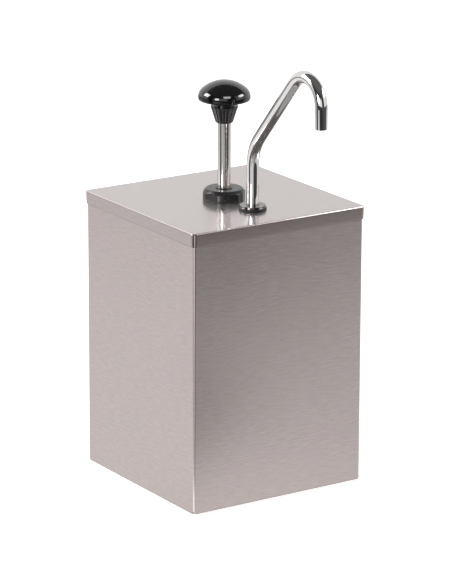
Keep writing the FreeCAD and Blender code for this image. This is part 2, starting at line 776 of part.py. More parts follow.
def outlet_retainer(doc):
    circle = f"({SPOUT_RADIUS} - dims.spout_wall - dims.outlet_hole_bore / 2 - dims.retainer_margin)"
    return perforated_disc(
        doc,
        "outlet_retainer",
        f"({TUBE_SOCKET} - dims.seat_gap)",
        circle,
        "dims.outlet_hole_bore",
        y="-dims.spout_offset",
        z=f"{VALVE_BOTTOM} + {OUTLET_LEDGE}",
    )


def ball(doc, label, radius, **place):
    sphere = doc.addObject("Part::Sphere", label)
    sphere.Label = label
    sphere.setExpression("Radius", radius)
    for axis, text in place.items():
        sphere.setExpression(f"Placement.Base.{axis}", text)
    return sphere


def passage_plug(doc):
    """Screw that closes the drilled end of the cross passage."""
    stem = "(dims.plug_bore / 2 - dims.slip_fit)"
    cap = "(dims.plug_cap / 2)"
    under = "dims.plug_washer_sheet"
    top = "(dims.plug_washer_sheet + dims.plug_cap_height)"
    start = "(dims.seat_gap - dims.plug_thread)"
    corners = [("0", start), (stem, start), (stem, under), (cap, under), (cap, top), ("0", top)]
    body = turned(doc, "passage_plug", corners, y=f"-{VALVE_FRONT}", z=f"{VALVE_BOTTOM} + {PASSAGE_AXIS}")
    body.Placement.Rotation = FreeCAD.Rotation(FreeCAD.Vector(1, 0, 0), 90)
    hex_socket(body, "dims.plug_socket", top, "dims.plug_cap_height * 0.7")
    return body


def hex_socket(body, across, level, depth):
    """A six-sided key recess sunk into a screw's head."""
    sketch = new_sketch(body, "XY_Plane", level)
    corners = []
    for step in range(6):
        angle = 60 * step
        corners.append(
            (f"{across} / sqrt(3) * cos({angle})", f"{across} / sqrt(3) * sin({angle})")
        )
    draw_profile(sketch, corners)
    return add_feature(body, "Pocket", sketch, Length=depth)


def plug_washer(doc):
    body = ring(
        doc,
        "plug_washer",
        "(dims.plug_bore / 2 + dims.slip_fit)",
        "(dims.plug_cap / 2)",
        "dims.plug_washer_sheet",
        y=f"-{VALVE_FRONT}",
        z=f"{VALVE_BOTTOM} + {PASSAGE_AXIS}",
    )
    body.Placement.Rotation = FreeCAD.Rotation(FreeCAD.Vector(1, 0, 0), 90)
    return body


def return_spring(doc):
    """Round-wire compression spring between the inlet retainer and the piston."""
    body = new_body(doc, "return_spring", z=SPRING_FOOT)
    sketch = new_sketch(body, "XZ_Plane")
    radius = "(dims.cylinder_bore / 2 - dims.spring_gap - dims.spring_wire / 2)"
    draw_circle(sketch, radius, "dims.spring_wire / 2", "dims.spring_wire / 2")
    helix = body.newObject("PartDesign::AdditiveHelix", "return_spring_Helix")
    helix.Profile = sketch
    helix.ReferenceAxis = (sketch, ["V_Axis"])
    helix.Mode = "height-turns-angle"
    helix.setExpression("Height", f"{SPRING_LENGTH} - dims.spring_wire")
    helix.setExpression("Turns", "dims.spring_turns")
    return body


# ---------------------------------------------------------------- spout
def spout_path(sketch, knee, tip):
    """Riser, knee, slope, crown arc and drop, each tangent to the next."""
    slope = math.radians(number(sketch, "dims.spout_slope"))
    knee_radius = number(sketch, "dims.spout_knee_radius")
    crown_radius = number(sketch, "dims.spout_crown_radius")
    reach = number(sketch, "dims.spout_reach")
    knee_level = number(sketch, knee)
    lean = math.pi / 2 - slope
    rise = FreeCAD.Vector(-math.cos(slope), math.sin(slope), 0)
    side = FreeCAD.Vector(-math.sin(slope), -math.cos(slope), 0)
    corner = FreeCAD.Vector(0, knee_level, 0)
    peak = corner + rise * (reach / math.cos(slope))
    knee_start = corner - FreeCAD.Vector(0, knee_radius * math.tan(lean / 2), 0)
    knee_end = corner + rise * (knee_radius * math.tan(lean / 2))
    knee_centre = knee_start - FreeCAD.Vector(knee_radius, 0, 0)
    turn_back = crown_radius * math.tan((math.pi / 2 + slope) / 2)
    crown_start = peak - rise * turn_back
    crown_centre = crown_start + side * crown_radius
    crown_end = FreeCAD.Vector(-reach, crown_centre.y, 0)
    drop_end = FreeCAD.Vector(-reach, number(sketch, tip), 0)
    normal = FreeCAD.Vector(0, 0, 1)
    zero = FreeCAD.Vector(0, 0, 0)
    sketch.addGeometry(Part.LineSegment(zero, knee_start), False)
    knee_arc = Part.Circle(knee_centre, normal, knee_radius)
    sketch.addGeometry(Part.ArcOfCircle(knee_arc, 0, lean), False)
    sketch.addGeometry(Part.LineSegment(knee_end, crown_start), False)
    crown_arc = Part.Circle(crown_centre, normal, crown_radius)
    sketch.addGeometry(Part.ArcOfCircle(crown_arc, lean, math.pi), False)
    sketch.addGeometry(Part.LineSegment(crown_end, drop_end), False)
    for item, end, other, start in ((0, 2, 1, 1), (1, 2, 2, 1), (2, 2, 3, 1), (3, 2, 4, 1)):
        sketch.addConstraint(Sketcher.Constraint("Tangent", item, end, other, start))
    sketch.addConstraint(Sketcher.Constraint("Coincident", 0, 1, -1, 1))
    sketch.addConstraint(Sketcher.Constraint("Vertical", 0))
    sketch.addConstraint(Sketcher.Constraint("Vertical", 4))
    rising = f"({knee} - dims.spout_knee_radius * tan((90 - dims.spout_slope) / 2))"
    sketch.addConstraint(Sketcher.Constraint("DistanceY", -1, 1, 0, 2, knee_start.y))
    bind_last(sketch, rising)
    for item, text in ((1, "dims.spout_knee_radius"), (3, "dims.spout_crown_radius")):
        sketch.addConstraint(Sketcher.Constraint("Radius", item, number(sketch, text)))
        bind_last(sketch, text)
    crown = (
        f"({knee} + dims.spout_reach * tan(dims.spout_slope)"
        " - dims.spout_crown_radius * tan((90 + dims.spout_slope) / 2))"
    )
    place_point(sketch, 3, 3, "(dims.spout_crown_radius - dims.spout_reach)", crown)
    sketch.addConstraint(Sketcher.Constraint("DistanceY", -1, 1, 4, 2, drop_end.y))
    bind_last(sketch, tip)


def spout_tube(doc):
    """One bent tube from the valve body's socket up through the lid to the tip."""
    foot = f"({VALVE_BOTTOM} + {TUBE_END})"
    body = new_body(doc, "spout_tube", y="-dims.spout_offset", z=foot)
    path = new_sketch(body, "YZ_Plane")
    spout_path(
        path,
        f"({LID_TOP} + dims.spout_knee_rise - {foot})",
        f"({LID_TOP} + dims.spout_tip_rise - {foot})",
    )
    section = new_sketch(body, "XY_Plane")
    draw_circle(section, "0", "0", SPOUT_RADIUS)
    draw_circle(section, "0", "0", f"({SPOUT_RADIUS} - dims.spout_wall)")
    pipe = add_feature(body, "AdditivePipe", section)
    pipe.Spine = (path, [f"Edge{step}" for step in range(1, 6)])
    return body


def escutcheon(doc):
    """Threaded bushing whose two-tier flange holds the tube upright in the lid."""
    bore = f"({SPOUT_RADIUS} + dims.slip_fit)"
    mouth = f"({SPOUT_RADIUS} + dims.escutcheon_mouth)"
    outer = "(dims.escutcheon_diameter / 2)"
    upper = "(dims.escutcheon_top / 2)"
    groove = f"({upper} - dims.escutcheon_groove)"
    shelf = "(dims.escutcheon_bead + dims.escutcheon_groove_sheet)"
    tail = (
        "(dims.spout_gasket_sheet + dims.lid_sheet + dims.shank_washer_sheet"
        " + dims.jam_nut_height + dims.shank_tail)"
    )
    corners = [
        (bore, f"-{tail}"),
        (SHANK_RADIUS, f"-{tail}"),
        (SHANK_RADIUS, "0"),
        (outer, "0"),
        (outer, "dims.escutcheon_bead"),
        (groove, "dims.escutcheon_bead"),
        (groove, shelf),
        (upper, shelf),
        (upper, "dims.escutcheon_rise"),
        (mouth, "dims.escutcheon_rise"),
        (bore, "(dims.escutcheon_rise - dims.escutcheon_mouth)"),
    ]
    level = f"{LID_TOP} + dims.spout_gasket_sheet"
    body = turned(doc, "escutcheon", corners, y="-dims.spout_offset", z=level)
    rim = number(body, outer)
    lip = number(body, upper)
    top = number(body, "dims.escutcheon_rise")
    round_edges(
        body,
        "dims.escutcheon_round",
        lambda edge: reach_of(edge) > rim - 0.01
        or (at_height(edge, top) and reach_of(edge) > lip - 0.01),
    )
    return body


def spout_gasket(doc):
    inner = f"({SHANK_RADIUS} + dims.slip_fit)"
    outer = "(dims.spout_gasket_diameter / 2)"
    spot = {"y": "-dims.spout_offset", "z": LID_TOP}
    body = ring(doc, "spout_gasket", inner, outer, "dims.spout_gasket_sheet", **spot)
    rim = number(body, outer)
    round_edges(body, "dims.spout_gasket_sheet / 4", lambda edge: reach_of(edge) > rim - 0.01)
    return body


def shank_washer(doc):
    inner = f"({SHANK_RADIUS} + dims.slip_fit)"
    level = f"{LID_UNDERSIDE} - dims.shank_washer_sheet"
    spot = {"y": "-dims.spout_offset", "z": level}
    outer = "(dims.shank_washer_diameter / 2)"
    return ring(doc, "shank_washer", inner, outer, "dims.shank_washer_sheet", **spot)


def jam_nut(doc):
    """Hexagonal nut that pulls the escutcheon down from below the lid."""
    radius = "(dims.jam_nut_flats / sqrt(3))"
    inner = f"({SHANK_RADIUS} + dims.slip_fit)"
    low = "(dims.jam_nut_corner / 2)"
    high = "(dims.jam_nut_height - dims.jam_nut_corner / 2)"
    slim = f"({radius} - dims.jam_nut_corner)"
    corners = [
        (inner, "0"),
        (slim, "0"),
        (radius, low),
        (radius, high),
        (slim, "dims.jam_nut_height"),
        (inner, "dims.jam_nut_height"),
    ]
    level = f"{LID_UNDERSIDE} - dims.shank_washer_sheet - dims.jam_nut_height"
    body = turned(doc, "jam_nut", corners, y="-dims.spout_offset", z=level)
    cut_flats(body, "dims.jam_nut_flats", radius, "dims.jam_nut_height")
    return body


# ---------------------------------------------------------------- plunger
def cross_hole(body, level, diameter):
    """Drills right through a turned piece from front to back."""
    hole = new_sketch(body, "XZ_Plane")
    draw_circle(hole, "0", level, f"({diameter} / 2)")
    add_feature(body, "Pocket", hole, Length="dims.stop_ring_diameter * 2", Midplane=True)


def plunger_tube(doc):
    """Polished tube between the piston and the knob."""
    length = f"({TUBE_TOP} - {TUBE_BOTTOM})"
    body = ring(doc, "plunger_tube", SHAFT_BORE_RADIUS, SHAFT_RADIUS, length, z=TUBE_BOTTOM)
    pin_level = f"({STOP_RING_BOTTOM} + dims.stop_ring_height / 2 - {TUBE_BOTTOM})"
    cross_hole(body, pin_level, "(dims.stop_pin + 2 * dims.slip_fit)")
    return body


def stop_ring(doc):
    """Ring pinned on the tube; it meets the bush when the plunger is up."""
    inner = f"({SHAFT_RADIUS} + dims.slip_fit)"
    outer = "(dims.stop_ring_diameter / 2)"
    body = ring(doc, "stop_ring", inner, outer, "dims.stop_ring_height", z=STOP_RING_BOTTOM)
    cross_hole(body, "dims.stop_ring_height / 2", "(dims.stop_pin + 2 * dims.slip_fit)")
    return body


def stop_pin(doc):
    """Straight pin through the stop ring and the tube."""
    length = "(dims.stop_ring_diameter - 2 * dims.seat_gap - dims.stop_pin / 2)"
    body = new_body(doc, "stop_pin", z=f"{STOP_RING_BOTTOM} + dims.stop_ring_height / 2")
    section = new_sketch(body, "XZ_Plane")
    draw_circle(section, "0", "0", "(dims.stop_pin / 2)")
    add_feature(body, "Pad", section, Length=length, Midplane=True)
    return body


def plunger_plug(doc):
    """Welded end plug of the tube with the stud that the knob screws on."""
    plug = f"({SHAFT_BORE_RADIUS} - dims.slip_fit)"
    stud = "(dims.stud_diameter / 2)"
    top = "(dims.plug_head + dims.stud_length)"
    corners = [
        ("0", "-dims.plug_length"),
        (plug, "-dims.plug_length"),
        (plug, "0"),
        (SHAFT_RADIUS, "0"),
        (SHAFT_RADIUS, "dims.plug_head"),
        (stud, "dims.plug_head"),
        (stud, top),
        ("0", top),
    ]
    return turned(doc, "plunger_plug", corners, z=TUBE_TOP)


def knob_skirt(doc):
    """Fluted cone under the knob, wider at its top, locked by the knob."""
    bore = f"({SHAFT_RADIUS} + dims.slip_fit)"
    low = "(dims.skirt_bottom / 2)"
    high = "(dims.skirt_top / 2)"
    tall = "dims.skirt_height"
    body = turned(
        doc, "knob_skirt", [(bore, "0"), (low, "0"), (high, tall), (bore, tall)], z=SKIRT_BOTTOM
    )
    toe = number(body, low)
    round_edges(
        body,
        "dims.skirt_toe_radius",
        lambda edge: at_height(edge, 0) and reach_of(edge) > toe - 0.01,
    )
    foot = new_sketch(body, "XY_Plane", "-dims.skirt_toe_radius")
    slant = f"(({high} - {low}) / {tall} * dims.skirt_toe_radius)"
    draw_circle(
        foot,
        f"({low} - {slant} + dims.flute_width_bottom / 2 - dims.flute_depth)",
        "0",
        "(dims.flute_width_bottom / 2)",
    )
    crown = new_sketch(body, "XY_Plane", f"{tall} + dims.skirt_toe_radius")
    draw_circle(
        crown,
        f"({high} + {slant} + dims.flute_width_top / 2 - dims.flute_depth)",
        "0",
        "(dims.flute_width_top / 2)",
    )
    flute = add_feature(body, "SubtractiveLoft", foot, Sections=[crown], Ruled=True)
    repeat(body, "Flutes", flute, foot, "dims.flute_count")
    return body


def knob(doc):
    """Domed knob with a turned neck and a threaded bore for the stud."""
    body = new_body(doc, "knob", z=KNOB_WIDEST)
    sketch = new_sketch(body, "XZ_Plane")
    bore = "(dims.stud_diameter / 2 + dims.slip_fit)"
    neck = "(dims.knob_neck / 2)"
    side = "(dims.knob_diameter / 2)"
    bottom = "-(dims.knob_neck_height + dims.knob_lower_radius)"
    roof = f"({bottom} + dims.stud_length + dims.stud_diameter / 8)"
    radius = number(sketch, side)
    crown = number(sketch, "dims.knob_crown")
    shoulder = number(sketch, "dims.knob_shoulder_radius")
    wall = number(sketch, "dims.knob_wall")
    lower = number(sketch, "dims.knob_lower_radius")
    inset = radius - shoulder
    # The crown arc touches the shoulder arc from outside, so the distance
    # between their centres is the difference of their radii.
    crown_radius = (crown**2 + inset**2 - shoulder**2) / (2 * (crown - shoulder))
    tilt = math.atan2(crown_radius - crown, inset)
    normal = FreeCAD.Vector(0, 0, 1)
    shoulder_circle = Part.Circle(FreeCAD.Vector(inset, wall, 0), normal, shoulder)
    crown_centre = FreeCAD.Vector(0, wall + crown - crown_radius, 0)
    crown_circle = Part.Circle(crown_centre, normal, crown_radius)
    lower_circle = Part.Circle(FreeCAD.Vector(radius - lower, 0, 0), normal, lower)
    sketch.addGeometry(Part.ArcOfCircle(lower_circle, 1.5 * math.pi, 2 * math.pi), False)
    sketch.addGeometry(Part.ArcOfCircle(shoulder_circle, 0, tilt), False)
    sketch.addGeometry(Part.ArcOfCircle(crown_circle, tilt, math.pi / 2), False)
    straight = [
        ("0", "(dims.knob_wall + dims.knob_crown)"),
        ("0", roof),
        (bore, roof),
        (bore, bottom),
        (neck, bottom),
        (neck, "-dims.knob_lower_radius"),
    ]
    spots = [FreeCAD.Vector(number(sketch, a), number(sketch, b), 0) for a, b in straight]
    spots.append(sketch.getPoint(0, 1))
    for start, end in zip(spots, spots[1:]):
        sketch.addGeometry(Part.LineSegment(start, end), False)
    last = sketch.GeometryCount - 1
    wall_line = Part.LineSegment(sketch.getPoint(0, 2), sketch.getPoint(1, 1))
    upright = sketch.addGeometry(wall_line, False)
    sketch.addConstraint(Sketcher.Constraint("Coincident", 0, 2, upright, 1))
    sketch.addConstraint(Sketcher.Constraint("Coincident", upright, 2, 1, 1))
    sketch.addConstraint(Sketcher.Constraint("Tangent", 1, 2, 2, 1))
    for item in [2] + list(range(3, last)):
        sketch.addConstraint(Sketcher.Constraint("Coincident", item, 2, item + 1, 1))
    sketch.addConstraint(Sketcher.Constraint("Tangent", last, 2, 0, 1))
    for item, (across, up) in enumerate(straight, 3):
        place_point(sketch, item, 1, across, up)
    sketch.addConstraint(Sketcher.Constraint("PointOnObject", 2, 3, -2))
    place_point(sketch, 0, 2, side, "0")
    place_point(sketch, upright, 2, side, "dims.knob_wall")
    place_point(sketch, 1, 3, f"({side} - dims.knob_shoulder_radius)", "dims.knob_wall")
    place_point(sketch, 0, 3, f"({side} - dims.knob_lower_radius)", "0")
    turn(body, "Revolution", sketch)
    return body


# ---------------------------------------------------------------- piston
def piston(doc):
    """Piston with a spigot for the tube and a hub that carries the seal."""
    spigot = f"({SHAFT_BORE_RADIUS} - dims.slip_fit)"
    skirt = "(dims.cylinder_bore / 2 - dims.running_fit)"
    hub = "(dims.piston_hub / 2)"
    thread = "(dims.screw_diameter / 2 + dims.slip_fit)"
    shoulder = "(dims.seal_height + dims.piston_skirt)"
    top = f"({shoulder} + dims.piston_spigot)"
    corners = [
        (thread, "0"),
        (hub, "0"),
        (hub, "dims.seal_height"),
        (skirt, "dims.seal_height"),
        (skirt, shoulder),
        (spigot, shoulder),
        (spigot, top),
        (thread, top),
    ]
    return turned(doc, "piston", corners, z=SEAL_BOTTOM)


def piston_seal(doc):
    """Cup seal: a heel under the piston skirt and two lips that open downwards."""
    inner = "(dims.piston_hub / 2 + dims.slip_fit)"
    outer = "(dims.cylinder_bore / 2 - dims.running_fit)"
    heel = "(dims.seal_height - dims.seal_heel)"
    corners = [
        (inner, "0"),
        (f"({inner} + dims.seal_lip)", "0"),
        (f"({inner} + dims.seal_lip * 1.5)", heel),
        (f"({outer} - dims.seal_lip * 1.5)", heel),
        (f"({outer} - dims.seal_lip)", "dims.seat_gap"),
        (outer, "dims.seat_gap"),
        (f"({outer} - dims.running_fit)", "dims.seal_height"),
        (inner, "dims.seal_height"),
    ]
    return turned(doc, "piston_seal", corners, z=SEAL_BOTTOM)


def seal_washer(doc):
    """Washer that keeps the seal on its hub and takes the spring's thrust."""
    inner = "(dims.screw_diameter / 2 + dims.slip_fit)"
    outer = "(dims.cylinder_bore / 2 - dims.washer_clearance)"
    return ring(
        doc, "seal_washer", inner, outer, "dims.seal_washer_sheet", z=SEAL_WASHER_BOTTOM
    )


def piston_screw(doc):
    """Screw up through the washer into the piston's thread."""
    stem = "(dims.screw_diameter / 2)"
    head = "(dims.screw_head / 2)"
    corners = [
        ("0", "-dims.screw_head_height"),
        (head, "-dims.screw_head_height"),
        (head, "0"),
        (stem, "0"),
        (stem, "dims.screw_length"),
        ("0", "dims.screw_length"),
    ]
    body = turned(doc, "piston_screw", corners, z=SEAL_WASHER_BOTTOM)
    pocket = hex_socket(
        body, "dims.screw_socket", "-dims.screw_head_height", "dims.screw_head_height * 0.7"
    )
    pocket.Reversed = True
    return body


def build(doc):
    """Every piece of the dispenser, in the order it goes together."""
    pieces = [housing_shell(doc), bottom_pan(doc), jar(doc)]
    pieces += [lid(doc), lock_nut(doc), guide_bush(doc), collar_gasket(doc), pump_collar(doc)]
    pieces += [pump_cylinder(doc), valve_body(doc), inlet_retainer(doc), outlet_retainer(doc)]
    pieces += [passage_plug(doc), plug_washer(doc), return_spring(doc)]
    pieces.append(o_ring(doc, "cylinder_o_ring", CYLINDER_RADIUS, z=f"{VALVE_BOTTOM} + {RING_LEVEL}"))
    tube_ring = {"y": "-dims.spout_offset", "z": f"{VALVE_BOTTOM} + {RING_LEVEL}"}
    pieces.append(o_ring(doc, "tube_o_ring", SPOUT_RADIUS, **tube_ring))
    pieces.append(ball(doc, "inlet_ball", INLET_BALL_RADIUS, z=f"{VALVE_BOTTOM} + {INLET_BALL}"))
    outlet = {"y": "-dims.spout_offset", "z": f"{VALVE_BOTTOM} + {OUTLET_BALL}"}
    pieces.append(ball(doc, "outlet_ball", OUTLET_BALL_RADIUS, **outlet))
    pieces += [spout_tube(doc), escutcheon(doc), spout_gasket(doc), shank_washer(doc), jam_nut(doc)]
    pieces += [plunger_tube(doc), stop_ring(doc), stop_pin(doc), plunger_plug(doc)]
    pieces += [knob_skirt(doc), knob(doc)]
    pieces += [piston(doc), piston_seal(doc), seal_washer(doc), piston_screw(doc)]
    return pieces


def main():
    doc = FreeCAD.newDocument("fructose_dispenser")
    fill_sheet(doc)
    pieces = build(doc)
    doc.recompute()
    faults = []
    for item in doc.Objects:
        if "Invalid" in item.State or "Error" in item.State:
            faults.append(f"{item.Label} did not build: {item.State}")
    for piece in pieces:
        if piece.Shape.isNull() or not piece.Shape.isValid():
            faults.append(f"{piece.Label} has no valid shape")
        elif len(piece.Shape.Solids) != 1:
            faults.append(f"{piece.Label} is not one solid")
    if faults:
        raise RuntimeError("; ".join(faults))
    os.makedirs("parts", exist_ok=True)
    for piece in pieces:
        piece.Shape.exportStep(f"parts/{piece.Label}.step")


main()
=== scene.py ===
"""Looks of a countertop syrup dispenser: finishes for every piece of the pump and
its housing, the wound return spring, the studio and the camera."""

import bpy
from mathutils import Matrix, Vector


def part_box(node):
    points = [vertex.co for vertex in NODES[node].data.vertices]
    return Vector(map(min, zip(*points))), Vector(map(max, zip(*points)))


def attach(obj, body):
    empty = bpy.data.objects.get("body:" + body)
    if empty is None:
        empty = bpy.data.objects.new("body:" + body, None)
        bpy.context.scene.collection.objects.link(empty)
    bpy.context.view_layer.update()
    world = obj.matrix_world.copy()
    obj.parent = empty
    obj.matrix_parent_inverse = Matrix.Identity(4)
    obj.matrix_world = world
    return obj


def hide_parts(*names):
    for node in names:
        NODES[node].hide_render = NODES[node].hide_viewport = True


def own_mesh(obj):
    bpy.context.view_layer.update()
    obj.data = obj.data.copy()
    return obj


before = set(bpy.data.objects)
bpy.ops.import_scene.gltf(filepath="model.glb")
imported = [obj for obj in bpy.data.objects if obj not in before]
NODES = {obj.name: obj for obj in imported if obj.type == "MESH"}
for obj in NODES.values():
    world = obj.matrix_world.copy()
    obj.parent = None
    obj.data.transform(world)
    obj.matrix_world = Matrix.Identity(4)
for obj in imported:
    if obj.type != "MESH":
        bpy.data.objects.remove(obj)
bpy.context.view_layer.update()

import math

import bpy
from mathutils import Matrix, Vector

bl_info = {
    "name": "Syrup dispenser looks",
    "version": (1, 0, 0),
    "blender": (4, 5, 0),
    "location": "3D View > Sidebar > Dispenser",
    "description": "Finishes, return spring and studio for a countertop syrup dispenser",
    "category": "Object",
}


# ---------------------------------------------------------------- settings
class SheetSettings(bpy.types.PropertyGroup):
    """Brushed stainless sheet of the housing and the lid."""

    steel_color: bpy.props.FloatVectorProperty(
        name="Steel colour",
        description="Colour of the bare stainless sheet",
        subtype="COLOR",
        size=3,
        min=0.0,
        max=1.0,
        default=(0.552, 0.483, 0.472),
    )
    panel_roughness: bpy.props.FloatProperty(
        name="Panel roughness",
        description="How dull the brushed walls of the housing are",
        subtype="FACTOR",
        min=0.0,
        max=1.0,
        default=0.22,
    )
    lid_roughness: bpy.props.FloatProperty(
        name="Lid roughness",
        description="How dull the lid is",
        subtype="FACTOR",
        min=0.0,
        max=1.0,
        default=0.17,
    )
    grain_length: bpy.props.FloatProperty(
        name="Grain length",
        description="Length of a brush stroke along the sheet",
        unit="LENGTH",
        min=0.001,
        default=0.012,
    )
    grain_width: bpy.props.FloatProperty(
        name="Grain width",
        description="Distance between brush strokes",
        unit="LENGTH",
        min=0.00005,
        default=0.0013,
    )
    worn_edge: bpy.props.FloatProperty(
        name="Worn edge",
        description="How far the polish rounds the folds of the sheet",
        unit="LENGTH",
        min=0.0,
        default=0.001,
    )
    grain_contrast: bpy.props.FloatProperty(
        name="Grain contrast",
        description="How much lighter and darker the brush strokes are",
        subtype="FACTOR",
        min=0.0,
        max=0.5,
        default=0.26,
    )


class TubeSettings(bpy.types.PropertyGroup):
    """Polished steel, chrome and machined metal of the pump."""

    chrome_color: bpy.props.FloatVectorProperty(
        name="Chrome colour",
        description="Colour of the plated spout",
        subtype="COLOR",
        size=3,
        min=0.0,
        max=1.0,
        default=(0.80, 0.785, 0.775),
    )
    nickel_color: bpy.props.FloatVectorProperty(
        name="Nickel colour",
        description="Colour of the dark plated escutcheon",
        subtype="COLOR",
        size=3,
        min=0.0,
        max=1.0,
        default=(0.22, 0.21, 0.21),
    )
    shaft_color: bpy.props.FloatVectorProperty(
        name="Shaft colour",
        description="Colour of the ground plunger tube and the pump cylinder",
        subtype="COLOR",
        size=3,
        min=0.0,
        max=1.0,
        default=(0.66, 0.63, 0.61),
    )
    part_color: bpy.props.FloatVectorProperty(
        name="Machined colour",
        description="Colour of turned nuts, balls, washers and screws",
        subtype="COLOR",
        size=3,
        min=0.0,
        max=1.0,
        default=(0.58, 0.57, 0.565),
    )
    shaft_roughness: bpy.props.FloatProperty(
        name="Shaft roughness",
        description="How dull the ground plunger tube is",
        subtype="FACTOR",
        min=0.0,
        max=1.0,
        default=0.16,
    )


class MouldedSettings(bpy.types.PropertyGroup):
    """Black grips, rubber seals and white pump plastic."""

    knob_color: bpy.props.FloatVectorProperty(
        name="Knob colour",
        description="Colour of the glossy knob",
        subtype="COLOR",
        size=3,
        min=0.0,
        max=1.0,
        default=(0.002, 0.002, 0.0025),
    )
    nut_color: bpy.props.FloatVectorProperty(
        name="Nut colour",
        description="Colour of the lock nut, its bush and the fluted skirt",
        subtype="COLOR",
        size=3,
        min=0.0,
        max=1.0,
        default=(0.015, 0.014, 0.0145),
    )
    rubber_color: bpy.props.FloatVectorProperty(
        name="Rubber colour",
        description="Colour of gaskets, rings and the piston seal",
        subtype="COLOR",
        size=3,
        min=0.0,
        max=1.0,
        default=(0.012, 0.012, 0.012),
    )
    jar_color: bpy.props.FloatVectorProperty(
        name="Jar colour",
        description="Colour of the syrup jar",
        subtype="COLOR",
        size=3,
        min=0.0,
        max=1.0,
        default=(0.80, 0.82, 0.81),
    )
    pump_color: bpy.props.FloatVectorProperty(
        name="Pump plastic colour",
        description="Colour of the valve body, collar and piston",
        subtype="COLOR",
        size=3,
        min=0.0,
        max=1.0,
        default=(0.82, 0.82, 0.79),
    )


class SpringSettings(bpy.types.PropertyGroup):
    """Wound return spring under the piston."""

    wire_diameter: bpy.props.FloatProperty(
        name="Wire diameter",
        description="Thickness of the spring wire",
        unit="LENGTH",
        min=0.0002,
        default=0.0016,
    )
    turns: bpy.props.IntProperty(
        name="Turns",
        description="Turns of the spring, end turns included",
        min=3,
        max=60,
        default=11,
    )
    points_per_turn: bpy.props.IntProperty(
        name="Points per turn",
        description="How finely the wire follows its helix",
        min=12,
        max=96,
        default=40,
    )


class StudioSettings(bpy.types.PropertyGroup):
    """Floor, surroundings and fill light. The levels are shares of the way from the
    darkest to the brightest surroundings."""

    floor_size: bpy.props.FloatProperty(
        name="Floor size",
        description="Side of the square floor",
        unit="LENGTH",
        min=1.0,
        default=12.0,
    )
    room_dark: bpy.props.FloatProperty(
        name="Darkest",
        description="Brightness of the darkest surroundings in reflections",
        min=0.0,
        default=0.04,
    )
    ceiling_level: bpy.props.FloatProperty(
        name="Ceiling",
        description="Level of the room overhead, seen in reflections",
        min=0.0,
        default=0.09,
    )
    room_bright: bpy.props.FloatProperty(
        name="Brightest",
        description="Brightness of the brightest surroundings in reflections",
        min=0.0,
        default=1.0,
    )
    front_level: bpy.props.FloatProperty(
        name="Front band",
        description="Level of the low band in front, seen in the lid",
        min=0.0,
        default=1.0,
    )
    table_level: bpy.props.FloatProperty(
        name="Table",
        description="Level of the table in front, seen in reflections",
        min=0.0,
        default=0.72,
    )
    shadow_reach: bpy.props.FloatProperty(
        name="Shadow reach",
        description="How far round the housing the table keeps its shadow",
        unit="LENGTH",
        min=0.05,
        default=0.35,
    )
    fill_light: bpy.props.FloatProperty(
        name="Fill",
        description="Brightness that reaches matt surfaces from all round",
        min=0.0,
        default=0.55,
    )


# ---------------------------------------------------------------- node helpers
BEVEL_SAMPLES = 8


